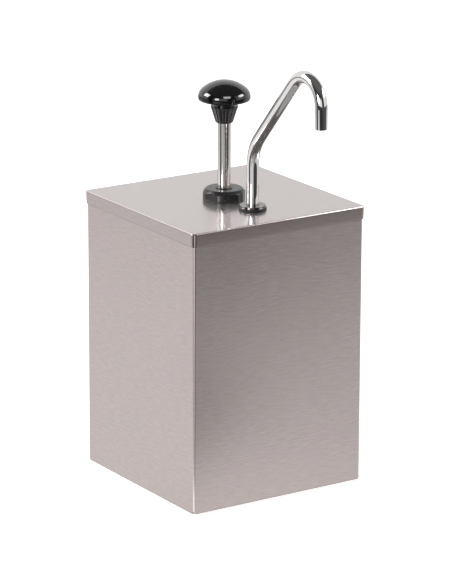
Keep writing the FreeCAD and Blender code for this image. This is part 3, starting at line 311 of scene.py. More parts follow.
class Tree:
    """Adds nodes to a tree and links them with short calls."""

    def __init__(self, tree):
        self.tree = tree

    def add(self, kind, inputs=None, **fields):
        """A node with its fields set and its inputs linked or filled in."""
        node = self.tree.nodes.new(kind)
        for name, value in fields.items():
            setattr(node, name, value)
        for key, value in (inputs or {}).items():
            self.feed(node.inputs[key], value)
        return node

    def feed(self, socket, value):
        """Links an output to a socket, or gives the socket a plain value."""
        if isinstance(value, bpy.types.NodeSocket):
            self.tree.links.new(value, socket)
        else:
            socket.default_value = value

    def math(self, operation, *values):
        """One step of arithmetic on numbers and outputs."""
        node = self.add("ShaderNodeMath", operation=operation)
        for socket, value in zip(node.inputs, values):
            self.feed(socket, value)
        return node.outputs[0]

    def chain(self, operation, first, *others):
        """Runs one operation through a row of values, from the first to the last."""
        for value in others:
            first = self.math(operation, first, value)
        return first

    def axes(self, vector):
        """The X, Y and Z of a vector."""
        return self.add("ShaderNodeSeparateXYZ", {0: vector}).outputs

    def absolute(self, vector):
        """The vector with none of its parts below zero."""
        return self.add("ShaderNodeVectorMath", {0: vector}, operation="ABSOLUTE").outputs[0]

    def stretch(self, vector, scale):
        """The vector multiplied axis by axis."""
        node = self.add("ShaderNodeVectorMath", {0: vector, 1: scale}, operation="MULTIPLY")
        return node.outputs[0]

    def tint(self, color, amount):
        """The colour made lighter or darker by a factor socket."""
        inputs = {0: tuple(color), "Scale": amount}
        return self.add("ShaderNodeVectorMath", inputs, operation="SCALE").outputs[0]

    def noise(self, vector, scale=1.0, detail=3.0, roughness=0.6):
        """Cloudy noise from 0 to 1."""
        node = self.add(
            "ShaderNodeTexNoise",
            {"Vector": vector, "Scale": scale, "Detail": detail, "Roughness": roughness},
        )
        return node.outputs["Fac"]

    def mix(self, factor, low, high):
        """Goes from low to high as factor goes from 0 to 1."""
        return self.add("ShaderNodeMix", {"Factor": factor, "A": low, "B": high}).outputs["Result"]

    def span(self, value, low, high):
        """Maps 0..1 to low..high."""
        node = self.add("ShaderNodeMapRange", {"Value": value, "To Min": low, "To Max": high})
        return node.outputs["Result"]

    def around(self, value, middle, swing):
        """Maps 0..1 to a range that reaches swing to both sides of middle."""
        return self.span(value, middle - swing, middle + swing)

    def window(self, value, start, end, low=0.0, high=1.0):
        """Smooth step of value from start to end, giving low to high."""
        edges = {"From Min": start, "From Max": end, "To Min": low, "To Max": high}
        node = self.add(
            "ShaderNodeMapRange", {"Value": value, **edges}, interpolation_type="SMOOTHSTEP"
        )
        return node.outputs["Result"]

    def zone(self, seen, steps):
        """Smooth steps multiplied together. A step names the measure that it follows,
        then its start, its end, its value before the start and its value past the end."""
        windows = [self.window(seen[measure], *edges) for measure, *edges in steps]
        return self.chain("MULTIPLY", *windows)

    def brightest(self, seen, zones, levels):
        """The brightest of these zones; levels holds the strength of each that has one."""
        parts = []
        for name, steps in zones.items():
            parts.append(self.math("MULTIPLY", self.zone(seen, steps), levels.get(name, 1.0)))
        return self.chain("MAXIMUM", *parts)

    def worn_normal(self, radius):
        """Normals as if edges were worn round to this radius."""
        node = self.add("ShaderNodeBevel", {"Radius": radius}, samples=BEVEL_SAMPLES)
        return node.outputs["Normal"]


def bare_tree(owner):
    """Turns on the nodes of a material or a world and empties its tree."""
    owner.use_nodes = True
    owner.node_tree.nodes.clear()
    return Tree(owner.node_tree)


def add_object(name, data):
    """A new object in the scene's own collection."""
    item = bpy.data.objects.new(name, data)
    bpy.context.scene.collection.objects.link(item)
    return item


def new_material(name):
    """A material with one Principled shader; returns it, its tree and the shader."""
    material = bpy.data.materials.new(name)
    tree = bare_tree(material)
    shader = tree.add("ShaderNodeBsdfPrincipled")
    tree.add("ShaderNodeOutputMaterial", {"Surface": shader.outputs["BSDF"]})
    return material, tree, shader


def bump(tree, shader, height, distance, strength, edge=0.0):
    """Relief from a height; edge is the radius that sharp edges look rounded by."""
    relief = {"Height": height, "Distance": distance, "Strength": strength}
    if edge:
        relief["Normal"] = tree.worn_normal(edge)
    node = tree.add("ShaderNodeBump", relief)
    tree.feed(shader.inputs["Normal"], node.outputs["Normal"])


def dress(material, *names):
    """Puts a material on every slot of these CAD nodes."""
    for name in names:
        for slot in NODES[name].material_slots:
            slot.material = material


# ---------------------------------------------------------------- finishes
# Brushed sheet. A gain multiplies the sheet's colour, a swing goes both ways, scales are
# in waves per metre and steps are (start, end, value before, value after).
FLAT_FROM = 0.7  # size of the normal's upward part from which a face counts as flat
FINE_ROUGHNESS = 0.7
FINE_SHARE = 0.65  # share of the fine grain; the rest is hairs, longer and thinner
HAIR_STRETCH = (0.25, 3.5, 1.0)
HAIR_DETAIL = 2.0
GRAIN_DULL_SWING = 0.03
GRAIN_DEPTH = 0.000004
GRAIN_STRENGTH = 0.5
HANDLING_SCALE = 16.0
HANDLING_SWING = 0.015
FOLD_STEP = (0.90, 0.985, 1.0, 0.0)  # of the largest part of the worn normal
# Painted highlight: this gain lightens the sheet's colour along the folds.
FOLD_HIGHLIGHT_GAIN = 1.7
FOLD_ROUGHNESS = 0.10
UNDER_STEP = (-0.35, -0.10, 1.0, 0.0)  # of the upward part of the worn normal
# Painted shade: this gain darkens the colour of folds that lean down.
UNDER_SHADE_GAIN = 0.15
# Painted shade for the dark gap where two folded rims meet at a corner.
SLIT_START = 0.45  # of the gap's width, to each side of the corner
SLIT_END = 0.60
SLIT_SHADE_GAIN = 0.02
HAZE_ROUGHNESS = 0.55
HAZE_IOR = 1.9


def brushed_sheet(
    name, settings, flat_dull, wall_dull, anisotropy, haze=0.0, slit_shade_width=0.0, wall_shade=1.0
):
    """Sheet with straight brush strokes: level on upright walls, left to right on
    flat faces, polished and smoother along the folds with a painted highlight there,
    painted shade where a fold leans down, and faint clouds from handling and
    cleaning. haze is how much of a second, broad sheen lies over the flat faces, slit
    the width of the painted shade standing for the gap where two folded rims meet at
    a corner, and wall_shade the painted shade that darkens the walls beside the flat
    faces."""
    material, tree, shader = new_material(name)
    place = tree.add("ShaderNodeTexCoord").outputs["Object"]
    facing = tree.add("ShaderNodeNewGeometry").outputs["Normal"]
    flat = tree.math("GREATER_THAN", tree.math("ABSOLUTE", tree.axes(facing)["Z"]), FLAT_FROM)
    upright = tree.math("SUBTRACT", 1.0, flat)

    axes = tree.axes(place)
    across = tree.math(
        "ADD", tree.math("MULTIPLY", axes["Z"], upright), tree.math("MULTIPLY", axes["Y"], flat)
    )
    along = tree.math("ADD", axes["X"], tree.math("MULTIPLY", axes["Y"], upright))
    strokes = tree.add("ShaderNodeCombineXYZ", {"X": along, "Y": across}).outputs[0]
    strokes = tree.stretch(strokes, (1 / settings.grain_length, 1 / settings.grain_width, 1.0))
    fine = tree.noise(strokes, roughness=FINE_ROUGHNESS)
    hair = tree.noise(tree.stretch(strokes, HAIR_STRETCH), detail=HAIR_DETAIL)
    grain = tree.math(
        "ADD", tree.math("MULTIPLY", fine, FINE_SHARE), tree.math("MULTIPLY", hair, 1.0 - FINE_SHARE)
    )
    clouds = tree.noise(place, HANDLING_SCALE)

    worn = tree.worn_normal(settings.worn_edge)
    parts = tree.axes(tree.absolute(worn))
    square = tree.chain("MAXIMUM", parts["X"], parts["Y"], parts["Z"])
    fold = tree.window(square, *FOLD_STEP)
    under = tree.math("MULTIPLY", fold, tree.window(tree.axes(worn)["Z"], *UNDER_STEP))
    fold_highlight = tree.math("SUBTRACT", fold, under)
    # Painted light in the colour: a highlight along the folds, and shade where a fold leans down and
    # on the walls.
    shade = tree.chain(
        "MULTIPLY",
        tree.around(grain, 1.0, settings.grain_contrast),
        tree.around(clouds, 1.0, HANDLING_SWING),
        tree.span(fold_highlight, 1.0, FOLD_HIGHLIGHT_GAIN),
        tree.span(under, 1.0, UNDER_SHADE_GAIN),
        tree.span(upright, 1.0, wall_shade),
    )
    # Painted shade: the gap at each corner is darkened in the colour.
    if slit_shade_width:
        sides = tree.axes(tree.absolute(place))
        apart = tree.math("ABSOLUTE", tree.math("SUBTRACT", sides["X"], sides["Y"]))
        clear = tree.window(apart, SLIT_START * slit_shade_width, SLIT_END * slit_shade_width)
        shade = tree.math(
            "MULTIPLY", shade, tree.span(tree.math("MAXIMUM", clear, flat), SLIT_SHADE_GAIN, 1.0)
        )
    tree.feed(shader.inputs["Base Color"], tree.tint(settings.steel_color, shade))

    dull = tree.mix(fold, tree.span(upright, flat_dull, wall_dull), FOLD_ROUGHNESS)
    uneven = tree.math(
        "ADD", tree.around(grain, 0.0, GRAIN_DULL_SWING), tree.around(clouds, 0.0, HANDLING_SWING)
    )
    tree.feed(shader.inputs["Roughness"], tree.math("ADD", dull, uneven))
    shader.inputs["Metallic"].default_value = 1.0
    shader.inputs["Anisotropic"].default_value = anisotropy
    tangent = tree.add("ShaderNodeCombineXYZ", {"Y": flat, "Z": upright}).outputs[0]
    tree.feed(shader.inputs["Tangent"], tangent)
    if haze:
        tree.feed(shader.inputs["Coat Weight"], tree.math("MULTIPLY", flat, haze))
        shader.inputs["Coat Roughness"].default_value = HAZE_ROUGHNESS
        shader.inputs["Coat IOR"].default_value = HAZE_IOR
    bump(tree, shader, grain, GRAIN_DEPTH, GRAIN_STRENGTH, edge=settings.worn_edge)
    return material


# Round metal: marks drawn out along Z, and patches of uneven polish.
MARK_SCALE = (1400.0, 1400.0, 25.0)
MARK_DEPTH = 0.00003
MARK_STRENGTH = 0.4
POLISH_SCALE = 60.0
POLISH_SWING = 0.02
POLISH_DULL_SHARE = 0.1


def polished_metal(name, color, roughness, streaks):
    """Round bright metal with fine marks along Z and a little uneven polish; streaks
    is how strong the marks are."""
    material, tree, shader = new_material(name)
    place = tree.add("ShaderNodeTexCoord").outputs["Object"]
    marks = tree.noise(tree.stretch(place, MARK_SCALE))
    clouds = tree.noise(place, POLISH_SCALE)
    shade = tree.math(
        "MULTIPLY", tree.around(marks, 1.0, streaks), tree.around(clouds, 1.0, POLISH_SWING)
    )
    tree.feed(shader.inputs["Base Color"], tree.tint(color, shade))
    dull = tree.math(
        "ADD",
        tree.around(marks, roughness, roughness * streaks),
        tree.around(clouds, 0.0, roughness * POLISH_DULL_SHARE),
    )
    tree.feed(shader.inputs["Roughness"], dull)
    shader.inputs["Metallic"].default_value = 1.0
    bump(tree, shader, marks, MARK_DEPTH * streaks, MARK_STRENGTH)
    return material


# Moulded pieces: the skin from the mould, and patches of uneven gloss.
SKIN_DETAIL = 5.0
SKIN_STRENGTH = 0.5
SKIN_DULL_SHARE = 0.1
GLOSS_SCALE = 45.0
GLOSS_DULL_SHARE = 0.06
COAT_ROUGHNESS = 0.03


def moulded(
    name, color, roughness, coat=0.0, texture=400.0, depth=0.00002, mottling=0.06, edge=0.0,
    milky=0.0, glow_reach=(0.0, 0.0, 0.0),
):
    """Moulded plastic or rubber: fine skin, slight mottling, uneven gloss. texture is
    the skin's scale in waves per metre and depth its relief; milky is how much light
    goes into the plastic, and glow_reach how far."""
    material, tree, shader = new_material(name)
    place = tree.add("ShaderNodeTexCoord").outputs["Object"]
    skin = tree.noise(place, texture, detail=SKIN_DETAIL)
    clouds = tree.noise(place, GLOSS_SCALE)
    shade = tree.math(
        "MULTIPLY", tree.around(skin, 1.0, mottling), tree.around(clouds, 1.0, mottling)
    )
    tree.feed(shader.inputs["Base Color"], tree.tint(color, shade))
    dull = tree.math(
        "ADD",
        tree.around(skin, roughness, roughness * SKIN_DULL_SHARE),
        tree.around(clouds, 0.0, roughness * GLOSS_DULL_SHARE),
    )
    tree.feed(shader.inputs["Roughness"], dull)
    shader.inputs["Coat Weight"].default_value = coat
    shader.inputs["Coat Roughness"].default_value = COAT_ROUGHNESS
    if milky:
        shader.inputs["Subsurface Weight"].default_value = milky
        shader.inputs["Subsurface Radius"].default_value = glow_reach
    bump(tree, shader, skin, depth, SKIN_STRENGTH, edge=edge)
    return material


# ---------------------------------------------------------------- operators
RIM_DULL_SHARE = 0.7  # the lid's rim is this much as dull as the housing's walls


class DISPENSER_OT_finish_housing(bpy.types.Operator):
    """Brushed sheet on the housing, its pan and the lid"""

    bl_idname = "dispenser.finish_housing"
    bl_label = "Finish Housing"

    def execute(self, context):
        settings = context.scene.dispenser_sheet
        walls = settings.panel_roughness
        panel = brushed_sheet(
            "brushed_panel", settings, flat_dull=walls, wall_dull=walls, anisotropy=0.93
        )
        # The lid gets painted shade on its walls and in the gaps at its corners.
        lid = brushed_sheet(
            "brushed_lid", settings, flat_dull=settings.lid_roughness,
            wall_dull=walls * RIM_DULL_SHARE, anisotropy=0.5, haze=1.0, slit_shade_width=0.0014,
            wall_shade=0.86,
        )
        dress(panel, "housing_shell", "bottom_pan")
        dress(lid, "lid")
        return {"FINISHED"}


class DISPENSER_OT_finish_spout(bpy.types.Operator):
    """Chrome spout, dark nickel escutcheon, rubber gaskets, steel washer and nut below"""

    bl_idname = "dispenser.finish_spout"
    bl_label = "Finish Spout"

    def execute(self, context):
        tubes = context.scene.dispenser_tubes
        moulds = context.scene.dispenser_moulded
        chrome = polished_metal("chrome_plate", tubes.chrome_color, roughness=0.045, streaks=0.03)
        dress(chrome, "spout_tube")
        nickel = polished_metal("dark_nickel", tubes.nickel_color, roughness=0.08, streaks=0.05)
        dress(nickel, "escutcheon")
        rubber = moulded("gasket_rubber", moulds.rubber_color, roughness=0.5, depth=0.00003)
        dress(rubber, "spout_gasket", "collar_gasket")
        machined = polished_metal("machined_steel", tubes.part_color, roughness=0.22, streaks=0.1)
        dress(machined, "shank_washer", "jam_nut")
        return {"FINISHED"}


class DISPENSER_OT_finish_plunger(bpy.types.Operator):
    """Glossy knob, satin skirt, nut and bush, ground plunger tube"""

    bl_idname = "dispenser.finish_plunger"
    bl_label = "Finish Plunger"

    def execute(self, context):
        tubes = context.scene.dispenser_tubes
        moulds = context.scene.dispenser_moulded
        gloss = moulded(
            "glossy_knob", moulds.knob_color, roughness=0.09, coat=0.6, texture=120.0,
            depth=0.000004, mottling=0.02,
        )
        dress(gloss, "knob")
        satin = moulded(
            "satin_black", moulds.nut_color, roughness=0.27, texture=900.0, depth=0.00001,
            edge=0.0012,
        )
        dress(satin, "knob_skirt", "lock_nut", "guide_bush")
        ground = polished_metal(
            "ground_steel", tubes.shaft_color, roughness=tubes.shaft_roughness, streaks=0.15
        )
        dress(ground, "plunger_tube")
        return {"FINISHED"}


class DISPENSER_OT_finish_pump(bpy.types.Operator):
    """Metal, plastic and rubber of the pump inside the jar, and the jar itself"""

    bl_idname = "dispenser.finish_pump"
    bl_label = "Finish Pump"

    def execute(self, context):
        tubes = context.scene.dispenser_tubes
        moulds = context.scene.dispenser_moulded
        drawn = polished_metal("drawn_tube", tubes.shaft_color, roughness=0.24, streaks=0.12)
        dress(drawn, "pump_cylinder")
        turned = polished_metal("turned_steel", tubes.part_color, roughness=0.2, streaks=0.1)
        dress(
            turned, "inlet_retainer", "outlet_retainer", "passage_plug", "inlet_ball",
            "outlet_ball", "stop_pin", "plunger_plug", "seal_washer", "piston_screw",
        )
        acetal = moulded(
            "white_acetal", moulds.pump_color, roughness=0.38, texture=700.0, depth=0.000008,
            mottling=0.015, milky=0.15, glow_reach=(0.004, 0.004, 0.003),
        )
        dress(acetal, "pump_collar", "valve_body", "plug_washer", "stop_ring", "piston")
        seals = moulded("seal_rubber", moulds.rubber_color, roughness=0.45)
        dress(seals, "cylinder_o_ring", "tube_o_ring", "piston_seal")
        frosted = moulded(
            "frosted_jar", moulds.jar_color, roughness=0.42, texture=260.0, depth=0.00001,
            mottling=0.01, milky=0.25, glow_reach=(0.008, 0.008, 0.007),
        )
        dress(frosted, "jar")
        return {"FINISHED"}


WIRE_SIDES = 14
WIRE_COLOR = (0.52, 0.52, 0.53)


def spring_tree(material):
    """Geometry Nodes tree that winds a compression spring. One turn at each end is
    closed and rises by the wire's thickness; the open turns share the rest."""
    group = bpy.data.node_groups.new("wound_spring", "GeometryNodeTree")
    sizes = (
        ("Mean Radius", "NodeSocketFloat"),
        ("Length", "NodeSocketFloat"),
        ("Wire Radius", "NodeSocketFloat"),
        ("Turns", "NodeSocketFloat"),
        ("Foot", "NodeSocketFloat"),
        ("Points per Turn", "NodeSocketInt"),
    )
    group.interface.new_socket("Geometry", in_out="OUTPUT", socket_type="NodeSocketGeometry")
    for name, kind in sizes:
        group.interface.new_socket(name, in_out="INPUT", socket_type=kind)
    tree = Tree(group)
    given = tree.add("NodeGroupInput").outputs
    coil = tree.add(
        "GeometryNodeCurveSpiral",
        {
            "Resolution": given["Points per Turn"],
            "Rotations": given["Turns"],
            "Start Radius": given["Mean Radius"],
            "End Radius": given["Mean Radius"],
            "Height": given["Length"],
        },
    )
    turn = tree.add("GeometryNodeSplineParameter").outputs["Factor"]
    wound = tree.math("MULTIPLY", turn, given["Turns"])
    thickness = tree.math("MULTIPLY", given["Wire Radius"], 2.0)
    open_turns = tree.math("SUBTRACT", given["Turns"], 2.0)
    # The wire's middle rises by the length less one thickness, in all.
    rise = tree.math("SUBTRACT", given["Length"], tree.math("MULTIPLY", thickness, 3.0))
    pitch = tree.math("DIVIDE", rise, open_turns)
    first = tree.math("MULTIPLY", tree.math("MINIMUM", wound, 1.0), thickness)
    middle = tree.math("MAXIMUM", tree.math("SUBTRACT", wound, 1.0), 0.0)
    middle = tree.math("MULTIPLY", tree.math("MINIMUM", middle, open_turns), pitch)
    last = tree.math("SUBTRACT", wound, tree.math("ADD", open_turns, 1.0))
    last = tree.math("MULTIPLY", tree.math("MAXIMUM", last, 0.0), thickness)
    height = tree.chain("ADD", first, last, middle, given["Wire Radius"], given["Foot"])
    spot = tree.axes(tree.add("GeometryNodeInputPosition").outputs[0])
    lifted = tree.add("ShaderNodeCombineXYZ", {"X": spot["X"], "Y": spot["Y"], "Z": height})
    shaped = tree.add(
        "GeometryNodeSetPosition",
        {"Geometry": coil.outputs["Curve"], "Position": lifted.outputs[0]},
    )
    wire = tree.add(
        "GeometryNodeCurvePrimitiveCircle",
        {"Resolution": WIRE_SIDES, "Radius": given["Wire Radius"]},
    )
    body = tree.add(
        "GeometryNodeCurveToMesh",
        {
            "Curve": shaped.outputs["Geometry"],
            "Profile Curve": wire.outputs["Curve"],
            "Fill Caps": True,
        },
    )
    smooth = tree.add("GeometryNodeSetShadeSmooth", {"Geometry": body.outputs["Mesh"]})
    real = tree.add("GeometryNodeRealizeInstances", {"Geometry": smooth.outputs["Geometry"]})
    painted = tree.add(
        "GeometryNodeSetMaterial",
        {"Geometry": real.outputs["Geometry"], "Material": material},
    )
    tree.add("NodeGroupOutput", {"Geometry": painted.outputs["Geometry"]})
    return group


def grow(name, group, values):
    """Runs a Geometry Nodes tree once and returns the plain mesh object it makes."""
    source = add_object(f"{name}_source", bpy.data.meshes.new(f"{name}_source"))
    modifier = source.modifiers.new("grow", "NODES")
    modifier.node_group = group
    for item in group.interface.items_tree:
        if item.item_type == "SOCKET" and item.in_out == "INPUT" and item.name in values:
            modifier[item.identifier] = values[item.name]
    depsgraph = bpy.context.evaluated_depsgraph_get()
    mesh = bpy.data.meshes.new_from_object(source.evaluated_get(depsgraph))
    mesh.name = name
    bpy.data.objects.remove(source)
    return add_object(name, mesh)


class DISPENSER_OT_wind_spring(bpy.types.Operator):
    """Winds the return spring with closed ends in place of the plain helix"""

    bl_idname = "dispenser.wind_spring"
    bl_label = "Wind Return Spring"

    def execute(self, context):
        settings = context.scene.dispenser_spring
        low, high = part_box("return_spring")
        wire_radius = settings.wire_diameter / 2
        material = polished_metal("spring_wire", WIRE_COLOR, roughness=0.28, streaks=0.12)
        coil = grow(
            "return_coil",
            spring_tree(material),
            {
                "Mean Radius": (high.x - low.x) / 2 - wire_radius,
                "Length": high.z - low.z,
                "Wire Radius": wire_radius,
                "Turns": float(settings.turns),
                "Foot": low.z,
                "Points per Turn": settings.points_per_turn,
            },
        )
        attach(coil, "lid_unit")
        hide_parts("return_spring")
        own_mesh(coil)
        return {"FINISHED"}


# ---------------------------------------------------------------- studio
# Level directions from the object: toward the camera, and to the camera's right.
TOWARD_CAMERA = (-0.548, -0.837)
TO_THE_RIGHT = (0.837, -0.548)
WHITE = (1.0, 1.0, 1.0, 1.0)

# What reflections show of the room, the brightest zone winning: each zone is a product
# of smooth steps (measure, start, end, value before, value after). near and right are
# the parts of a direction toward the camera and to its right, bearing is the angle in
# radians from near to right, height is the upward part.
ROOM_ZONES = {
    # low in front of the object, mirrored by the lid
    "front_band": (
        ("bearing", -0.92, -0.80, 0.0, 1.0),
        ("bearing", 0.05, 0.42, 1.0, 0.0),
        ("height", 0.24, 0.45, 1.0, 0.0),
    ),
    # from the right round to the back
    "right_bank": (
        ("bearing", 0.80, 1.10, 0.0, 1.0),
        ("bearing", 1.50, 1.90, 0.95, 0.45),
        ("height", 0.50, 0.68, 1.0, 0.0),
    ),
    # from the left round to the back
    "left_bank": (("bearing", -1.45, -1.30, 0.9, 0.0), ("height", 0.50, 0.68, 1.0, 0.0)),
    # behind the object, below a line that slopes
    "backdrop": (("slope", -0.05, 0.05, 0.88, 0.0),),
    "ceiling": (("height", 0.4, 0.8, 0.0, 1.0),),
}
SLOPE_OF_NEAR = 1.33
SLOPE_OF_RIGHT = 0.20

# The same for the floor, with near, right, slant, x and y as places in metres.
FLOOR_ZONES = {
    # in front of the object, toward the camera
    "table": (
        ("near", 0.35, 1.10, 0.5, 1.0),
        ("near", 1.46, 1.58, 1.0, 0.0),
        ("right", 0.0, 0.5, 1.0, 0.0),
        ("bearing", -0.92, -0.85, 0.0, 1.0),
    ),
    # behind the object, dimmer far back and far out on both sides
    "backdrop": (
        ("near", 0.15, 0.30, 1.0, 0.0),
        ("near", -1.0, -0.8, 0.35, 1.0),
        ("right", -0.10, 0.02, 0.96, 0.88),
        ("right", 0.02, 0.35, 1.0, 0.85),
        ("right", 1.35, 1.55, 1.0, 0.1),
        ("right", -1.55, -1.35, 0.35, 1.0),
    ),
    # to the right of the object, up to a slanting line
    "beside": (("slant", 0.6, 0.9, 0.65, 0.0), ("right", 0.2, 0.4, 0.0, 1.0)),
    "left_rim": (("bearing", -1.28, -1.20, 0.28, 0.0),),
    "right_rim": (("right", 0.88, 1.0, 0.0, 0.05),),
}
SLANT_OF_RIGHT = 0.5

# Places on the floor that reflections show darker.
SHADED_ZONES = {
    # under the object and behind it
    "behind": (
        ("x", -0.09, -0.04, 0.0, 1.0),
        ("x", 0.35, 0.50, 1.0, 0.0),
        ("y", -0.09, -0.07, 0.0, 1.0),
        ("y", 0.30, 0.45, 1.0, 0.0),
    ),
    # in front of the object's foot, for what mirrors it from about 0.3 m away or more
    "foot": (
        ("near", -0.12, 0.0, 0.0, 1.0),
        ("near", 0.25, 0.40, 1.0, 0.0),
        ("right", -0.34, -0.22, 0.0, 1.0),
        ("right", 0.22, 0.34, 1.0, 0.0),
        ("ray_length", 0.29, 0.33, 0.0, 1.0),
    ),
}
SHADED_DEPTH = 0.6


def measures(tree, vector):
    """How a direction or a place lies toward the camera and to the right of it, the
    bearing between the two, and its own axes."""
    axes = tree.axes(vector)
    seen = {"x": axes["X"], "y": axes["Y"], "height": axes["Z"]}
    for name, (x, y) in (("near", TOWARD_CAMERA), ("right", TO_THE_RIGHT)):
        part = tree.math("MULTIPLY", axes["X"], x)
        seen[name] = tree.math("ADD", part, tree.math("MULTIPLY", axes["Y"], y))
    seen["bearing"] = tree.math("ARCTAN2", seen["right"], seen["near"])
    return seen


def studio_world(settings):
    """White to the camera, and an even fill for matt surfaces. Reflections show a
    backdrop behind the object, banks of light on both sides, a low band in front, a
    faint ceiling, and a dark room between them."""
    world = bpy.data.worlds.new("studio")
    bpy.context.scene.world = world
    tree = bare_tree(world)
    seen = measures(tree, tree.add("ShaderNodeTexCoord").outputs["Generated"])
    seen["slope"] = tree.chain(
        "ADD",
        seen["height"],
        tree.math("MULTIPLY", seen["near"], SLOPE_OF_NEAR),
        tree.math("MULTIPLY", seen["right"], SLOPE_OF_RIGHT),
    )
    levels = {"front_band": settings.front_level, "ceiling": settings.ceiling_level}
    room = tree.brightest(seen, ROOM_ZONES, levels)
    reflected = tree.span(room, settings.room_dark, settings.room_bright)
    rays = tree.add("ShaderNodeLightPath").outputs
    indirect = tree.mix(rays["Is Diffuse Ray"], reflected, settings.fill_light)
    level = tree.mix(rays["Is Camera Ray"], indirect, 1.0)
    shell = tree.add("ShaderNodeBackground", {"Color": WHITE, "Strength": level})
    tree.add("ShaderNodeOutputWorld", {"Surface": shell.outputs["Background"]})


FLOOR_HEIGHT = -0.0002  # just clear of the housing's bottom
FLOOR_COLOR = (0.86, 0.86, 0.86, 1.0)
SHADOW_GLOW = 0.30  # what the floor adds by itself where it keeps its shadow; 1 beyond


def studio_floor(settings):
    """A plain pale table that keeps the object's shadow and shows white around it. In
    reflections it shows the floor's own light and dark zones."""
    half = settings.floor_size / 2
    corners = [(-half, -half), (half, -half), (half, half), (-half, half)]
    mesh = bpy.data.meshes.new("studio_floor")
    mesh.from_pydata([(x, y, FLOOR_HEIGHT) for x, y in corners], [], [(0, 1, 2, 3)])
    floor = add_object("studio_floor", mesh)
    material = bpy.data.materials.new("pale_floor")
    tree = bare_tree(material)
    place = tree.add("ShaderNodeTexCoord").outputs["Object"]
    rays = tree.add("ShaderNodeLightPath").outputs
    seen = measures(tree, place)
    slant = tree.math("MULTIPLY", seen["right"], SLANT_OF_RIGHT)
    seen["slant"] = tree.math("ADD", seen["near"], slant)
    seen["ray_length"] = rays["Ray Length"]
    sweep = tree.brightest(seen, FLOOR_ZONES, {"table": settings.table_level})
    for steps in SHADED_ZONES.values():
        depth = tree.math("MULTIPLY", tree.zone(seen, steps), SHADED_DEPTH)
        sweep = tree.math("MULTIPLY", sweep, tree.math("SUBTRACT", 1.0, depth))
    shown = tree.span(sweep, settings.room_dark, settings.room_bright)
    mirrored = tree.add("ShaderNodeEmission", {"Color": WHITE, "Strength": shown})

    away = tree.add("ShaderNodeVectorMath", {0: place}, operation="LENGTH").outputs["Value"]
    reach = settings.shadow_reach
    glow = tree.window(away, reach / 2, reach * 3, SHADOW_GLOW, 1.0)
    matt = tree.add("ShaderNodeBsdfDiffuse", {"Color": FLOOR_COLOR}).outputs[0]
    lift = tree.add("ShaderNodeEmission", {"Color": WHITE, "Strength": glow}).outputs[0]
    lifted = tree.add("ShaderNodeAddShader", {0: matt, 1: lift}).outputs[0]
    plain = tree.add("ShaderNodeMixShader", {0: rays["Is Camera Ray"], 1: matt, 2: lifted})
    mirroring = tree.math("MAXIMUM", rays["Is Glossy Ray"], rays["Is Transmission Ray"])
    surface = tree.add(
        "ShaderNodeMixShader", {0: mirroring, 1: plain.outputs[0], 2: mirrored.outputs[0]}
    )
    tree.add("ShaderNodeOutputMaterial", {"Surface": surface.outputs[0]})
    mesh.materials.append(material)


# The camera's place in metres, its directions to the right and backward, and its lens
# and sensor in millimetres.
CAMERA_PLACE = (-1.73596, -2.65461, 1.10511)
CAMERA_RIGHT = (0.83708, -0.54706, 0.00334)
CAMERA_BACK = (-0.52592, -0.80302, 0.28029)
LENS = 212.5
SENSOR_WIDTH = 36.0
FARTHEST_SEEN = 50.0


def main_camera():
    """A long lens that looks a little down on the lid from the front left."""
    data = bpy.data.cameras.new("main_camera")
    data.sensor_width = SENSOR_WIDTH
    data.lens = LENS
    data.clip_end = FARTHEST_SEEN
    camera = add_object("main_camera", data)
    right = Vector(CAMERA_RIGHT).normalized()
    back = Vector(CAMERA_BACK).normalized()
    up = back.cross(right).normalized()
    right = up.cross(back).normalized()
    turn = Matrix((right, up, back)).transposed().to_4x4()
    camera.matrix_world = Matrix.Translation(CAMERA_PLACE) @ turn
    bpy.context.scene.camera = camera


KNOB_PLACE = (0.0, 0.0, 0.375)
HOUSING_MIDDLE = (0.0, 0.0, 0.2)
OVERHEAD_PLACE = (0.1, 0.0, 1.7)

# Lamps that point at the knob: distance in metres, azimuth in degrees to the right of
# the camera's side, elevation in degrees, (width, height) in metres, power in watts.
KNOB_LAMPS = {
    "left_box": (1.5, -94.0, 28.0, (0.72, 0.60), 15.0),
    "right_box": (0.9, 87.0, 26.5, (0.42, 0.26), 3.2),
    "low_left_lamp": (2.2, -33.0, 12.0, (0.6, 0.7), 15.0),
    "low_right_lamp": (2.2, 13.0, 34.0, (1.1, 0.8), 16.0),
}


def area_lamp(name, place, aim, size, power, glossy=True):
    """A soft rectangular lamp that points at aim; size is (width, height)."""
    data = bpy.data.lights.new(name, "AREA")
    data.shape = "RECTANGLE"
    data.size, data.size_y = size
    data.energy = power
    lamp = add_object(name, data)
    lamp.location = place
    lamp.rotation_euler = (Vector(aim) - Vector(place)).to_track_quat("-Z", "Y").to_euler()
    lamp.visible_camera = False
    lamp.visible_glossy = glossy
    return lamp


def round_the_knob(distance, azimuth, elevation):
    """The place at a distance, azimuth and elevation from the knob."""
    flat = distance * math.cos(math.radians(elevation))
    near = flat * math.cos(math.radians(azimuth))
    right = flat * math.sin(math.radians(azimuth))
    x = TOWARD_CAMERA[0] * near + TO_THE_RIGHT[0] * right
    y = TOWARD_CAMERA[1] * near + TO_THE_RIGHT[1] * right
    return (x, y, KNOB_PLACE[2] + distance * math.sin(math.radians(elevation)))


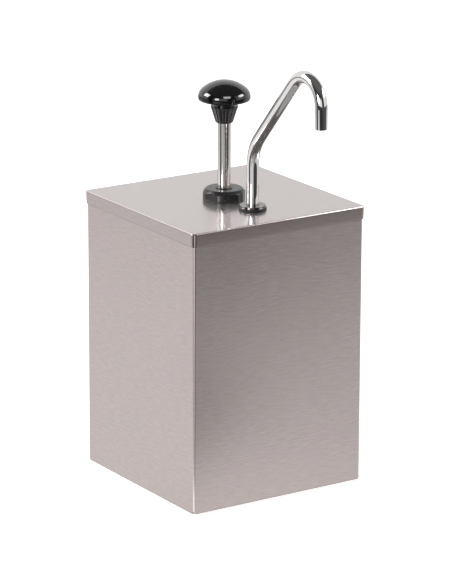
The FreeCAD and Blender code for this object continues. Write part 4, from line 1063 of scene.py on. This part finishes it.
class DISPENSER_OT_set_stage(bpy.types.Operator):
    """Pale floor, surroundings, soft lamps and the camera"""

    bl_idname = "dispenser.set_stage"
    bl_label = "Set Stage"

    def execute(self, context):
        settings = context.scene.dispenser_studio
        studio_floor(settings)
        studio_world(settings)
        area_lamp(
            "overhead_box", OVERHEAD_PLACE, HOUSING_MIDDLE, size=(0.9, 0.9), power=9.0,
            glossy=False,
        )
        lamps = {}
        for name, (distance, azimuth, elevation, size, power) in KNOB_LAMPS.items():
            place = round_the_knob(distance, azimuth, elevation)
            lamps[name] = area_lamp(name, place, KNOB_PLACE, size, power)
        lit = bpy.data.collections.new("lit_by_low_right_lamp")
        lit.objects.link(NODES["knob"])
        lamps["low_right_lamp"].light_linking.receiver_collection = lit
        context.scene.view_settings.view_transform = "Standard"
        main_camera()
        return {"FINISHED"}


class DISPENSER_PT_looks(bpy.types.Panel):
    """Steps that finish the dispenser"""

    bl_idname = "DISPENSER_PT_looks"
    bl_label = "Syrup Dispenser"
    bl_space_type = "VIEW_3D"
    bl_region_type = "UI"
    bl_category = "Dispenser"

    def draw(self, context):
        for step in STEPS:
            self.layout.operator(step.bl_idname)
        for group, name in SETTINGS.items():
            box = self.layout.box()
            box.label(text=group.__name__.replace("Settings", ""))
            holder = getattr(context.scene, name)
            for field in group.__annotations__:
                box.prop(holder, field)


SETTINGS = {
    SheetSettings: "dispenser_sheet",
    TubeSettings: "dispenser_tubes",
    MouldedSettings: "dispenser_moulded",
    SpringSettings: "dispenser_spring",
    StudioSettings: "dispenser_studio",
}
STEPS = (
    DISPENSER_OT_finish_housing,
    DISPENSER_OT_finish_spout,
    DISPENSER_OT_finish_plunger,
    DISPENSER_OT_finish_pump,
    DISPENSER_OT_wind_spring,
    DISPENSER_OT_set_stage,
)


def register():
    """Adds the settings, the steps and their panel."""
    for group, name in SETTINGS.items():
        bpy.utils.register_class(group)
        setattr(bpy.types.Scene, name, bpy.props.PointerProperty(type=group))
    for step in (*STEPS, DISPENSER_PT_looks):
        bpy.utils.register_class(step)


def unregister():
    """Takes out what register adds."""
    for step in reversed((*STEPS, DISPENSER_PT_looks)):
        bpy.utils.unregister_class(step)
    for group, name in SETTINGS.items():
        delattr(bpy.types.Scene, name)
        bpy.utils.unregister_class(group)


def main():
    """Runs the steps in order."""
    register()
    bpy.ops.dispenser.finish_housing()
    bpy.ops.dispenser.finish_spout()
    bpy.ops.dispenser.finish_plunger()
    bpy.ops.dispenser.finish_pump()
    bpy.ops.dispenser.wind_spring()
    bpy.ops.dispenser.set_stage()


if __name__ == "__main__":
    main()
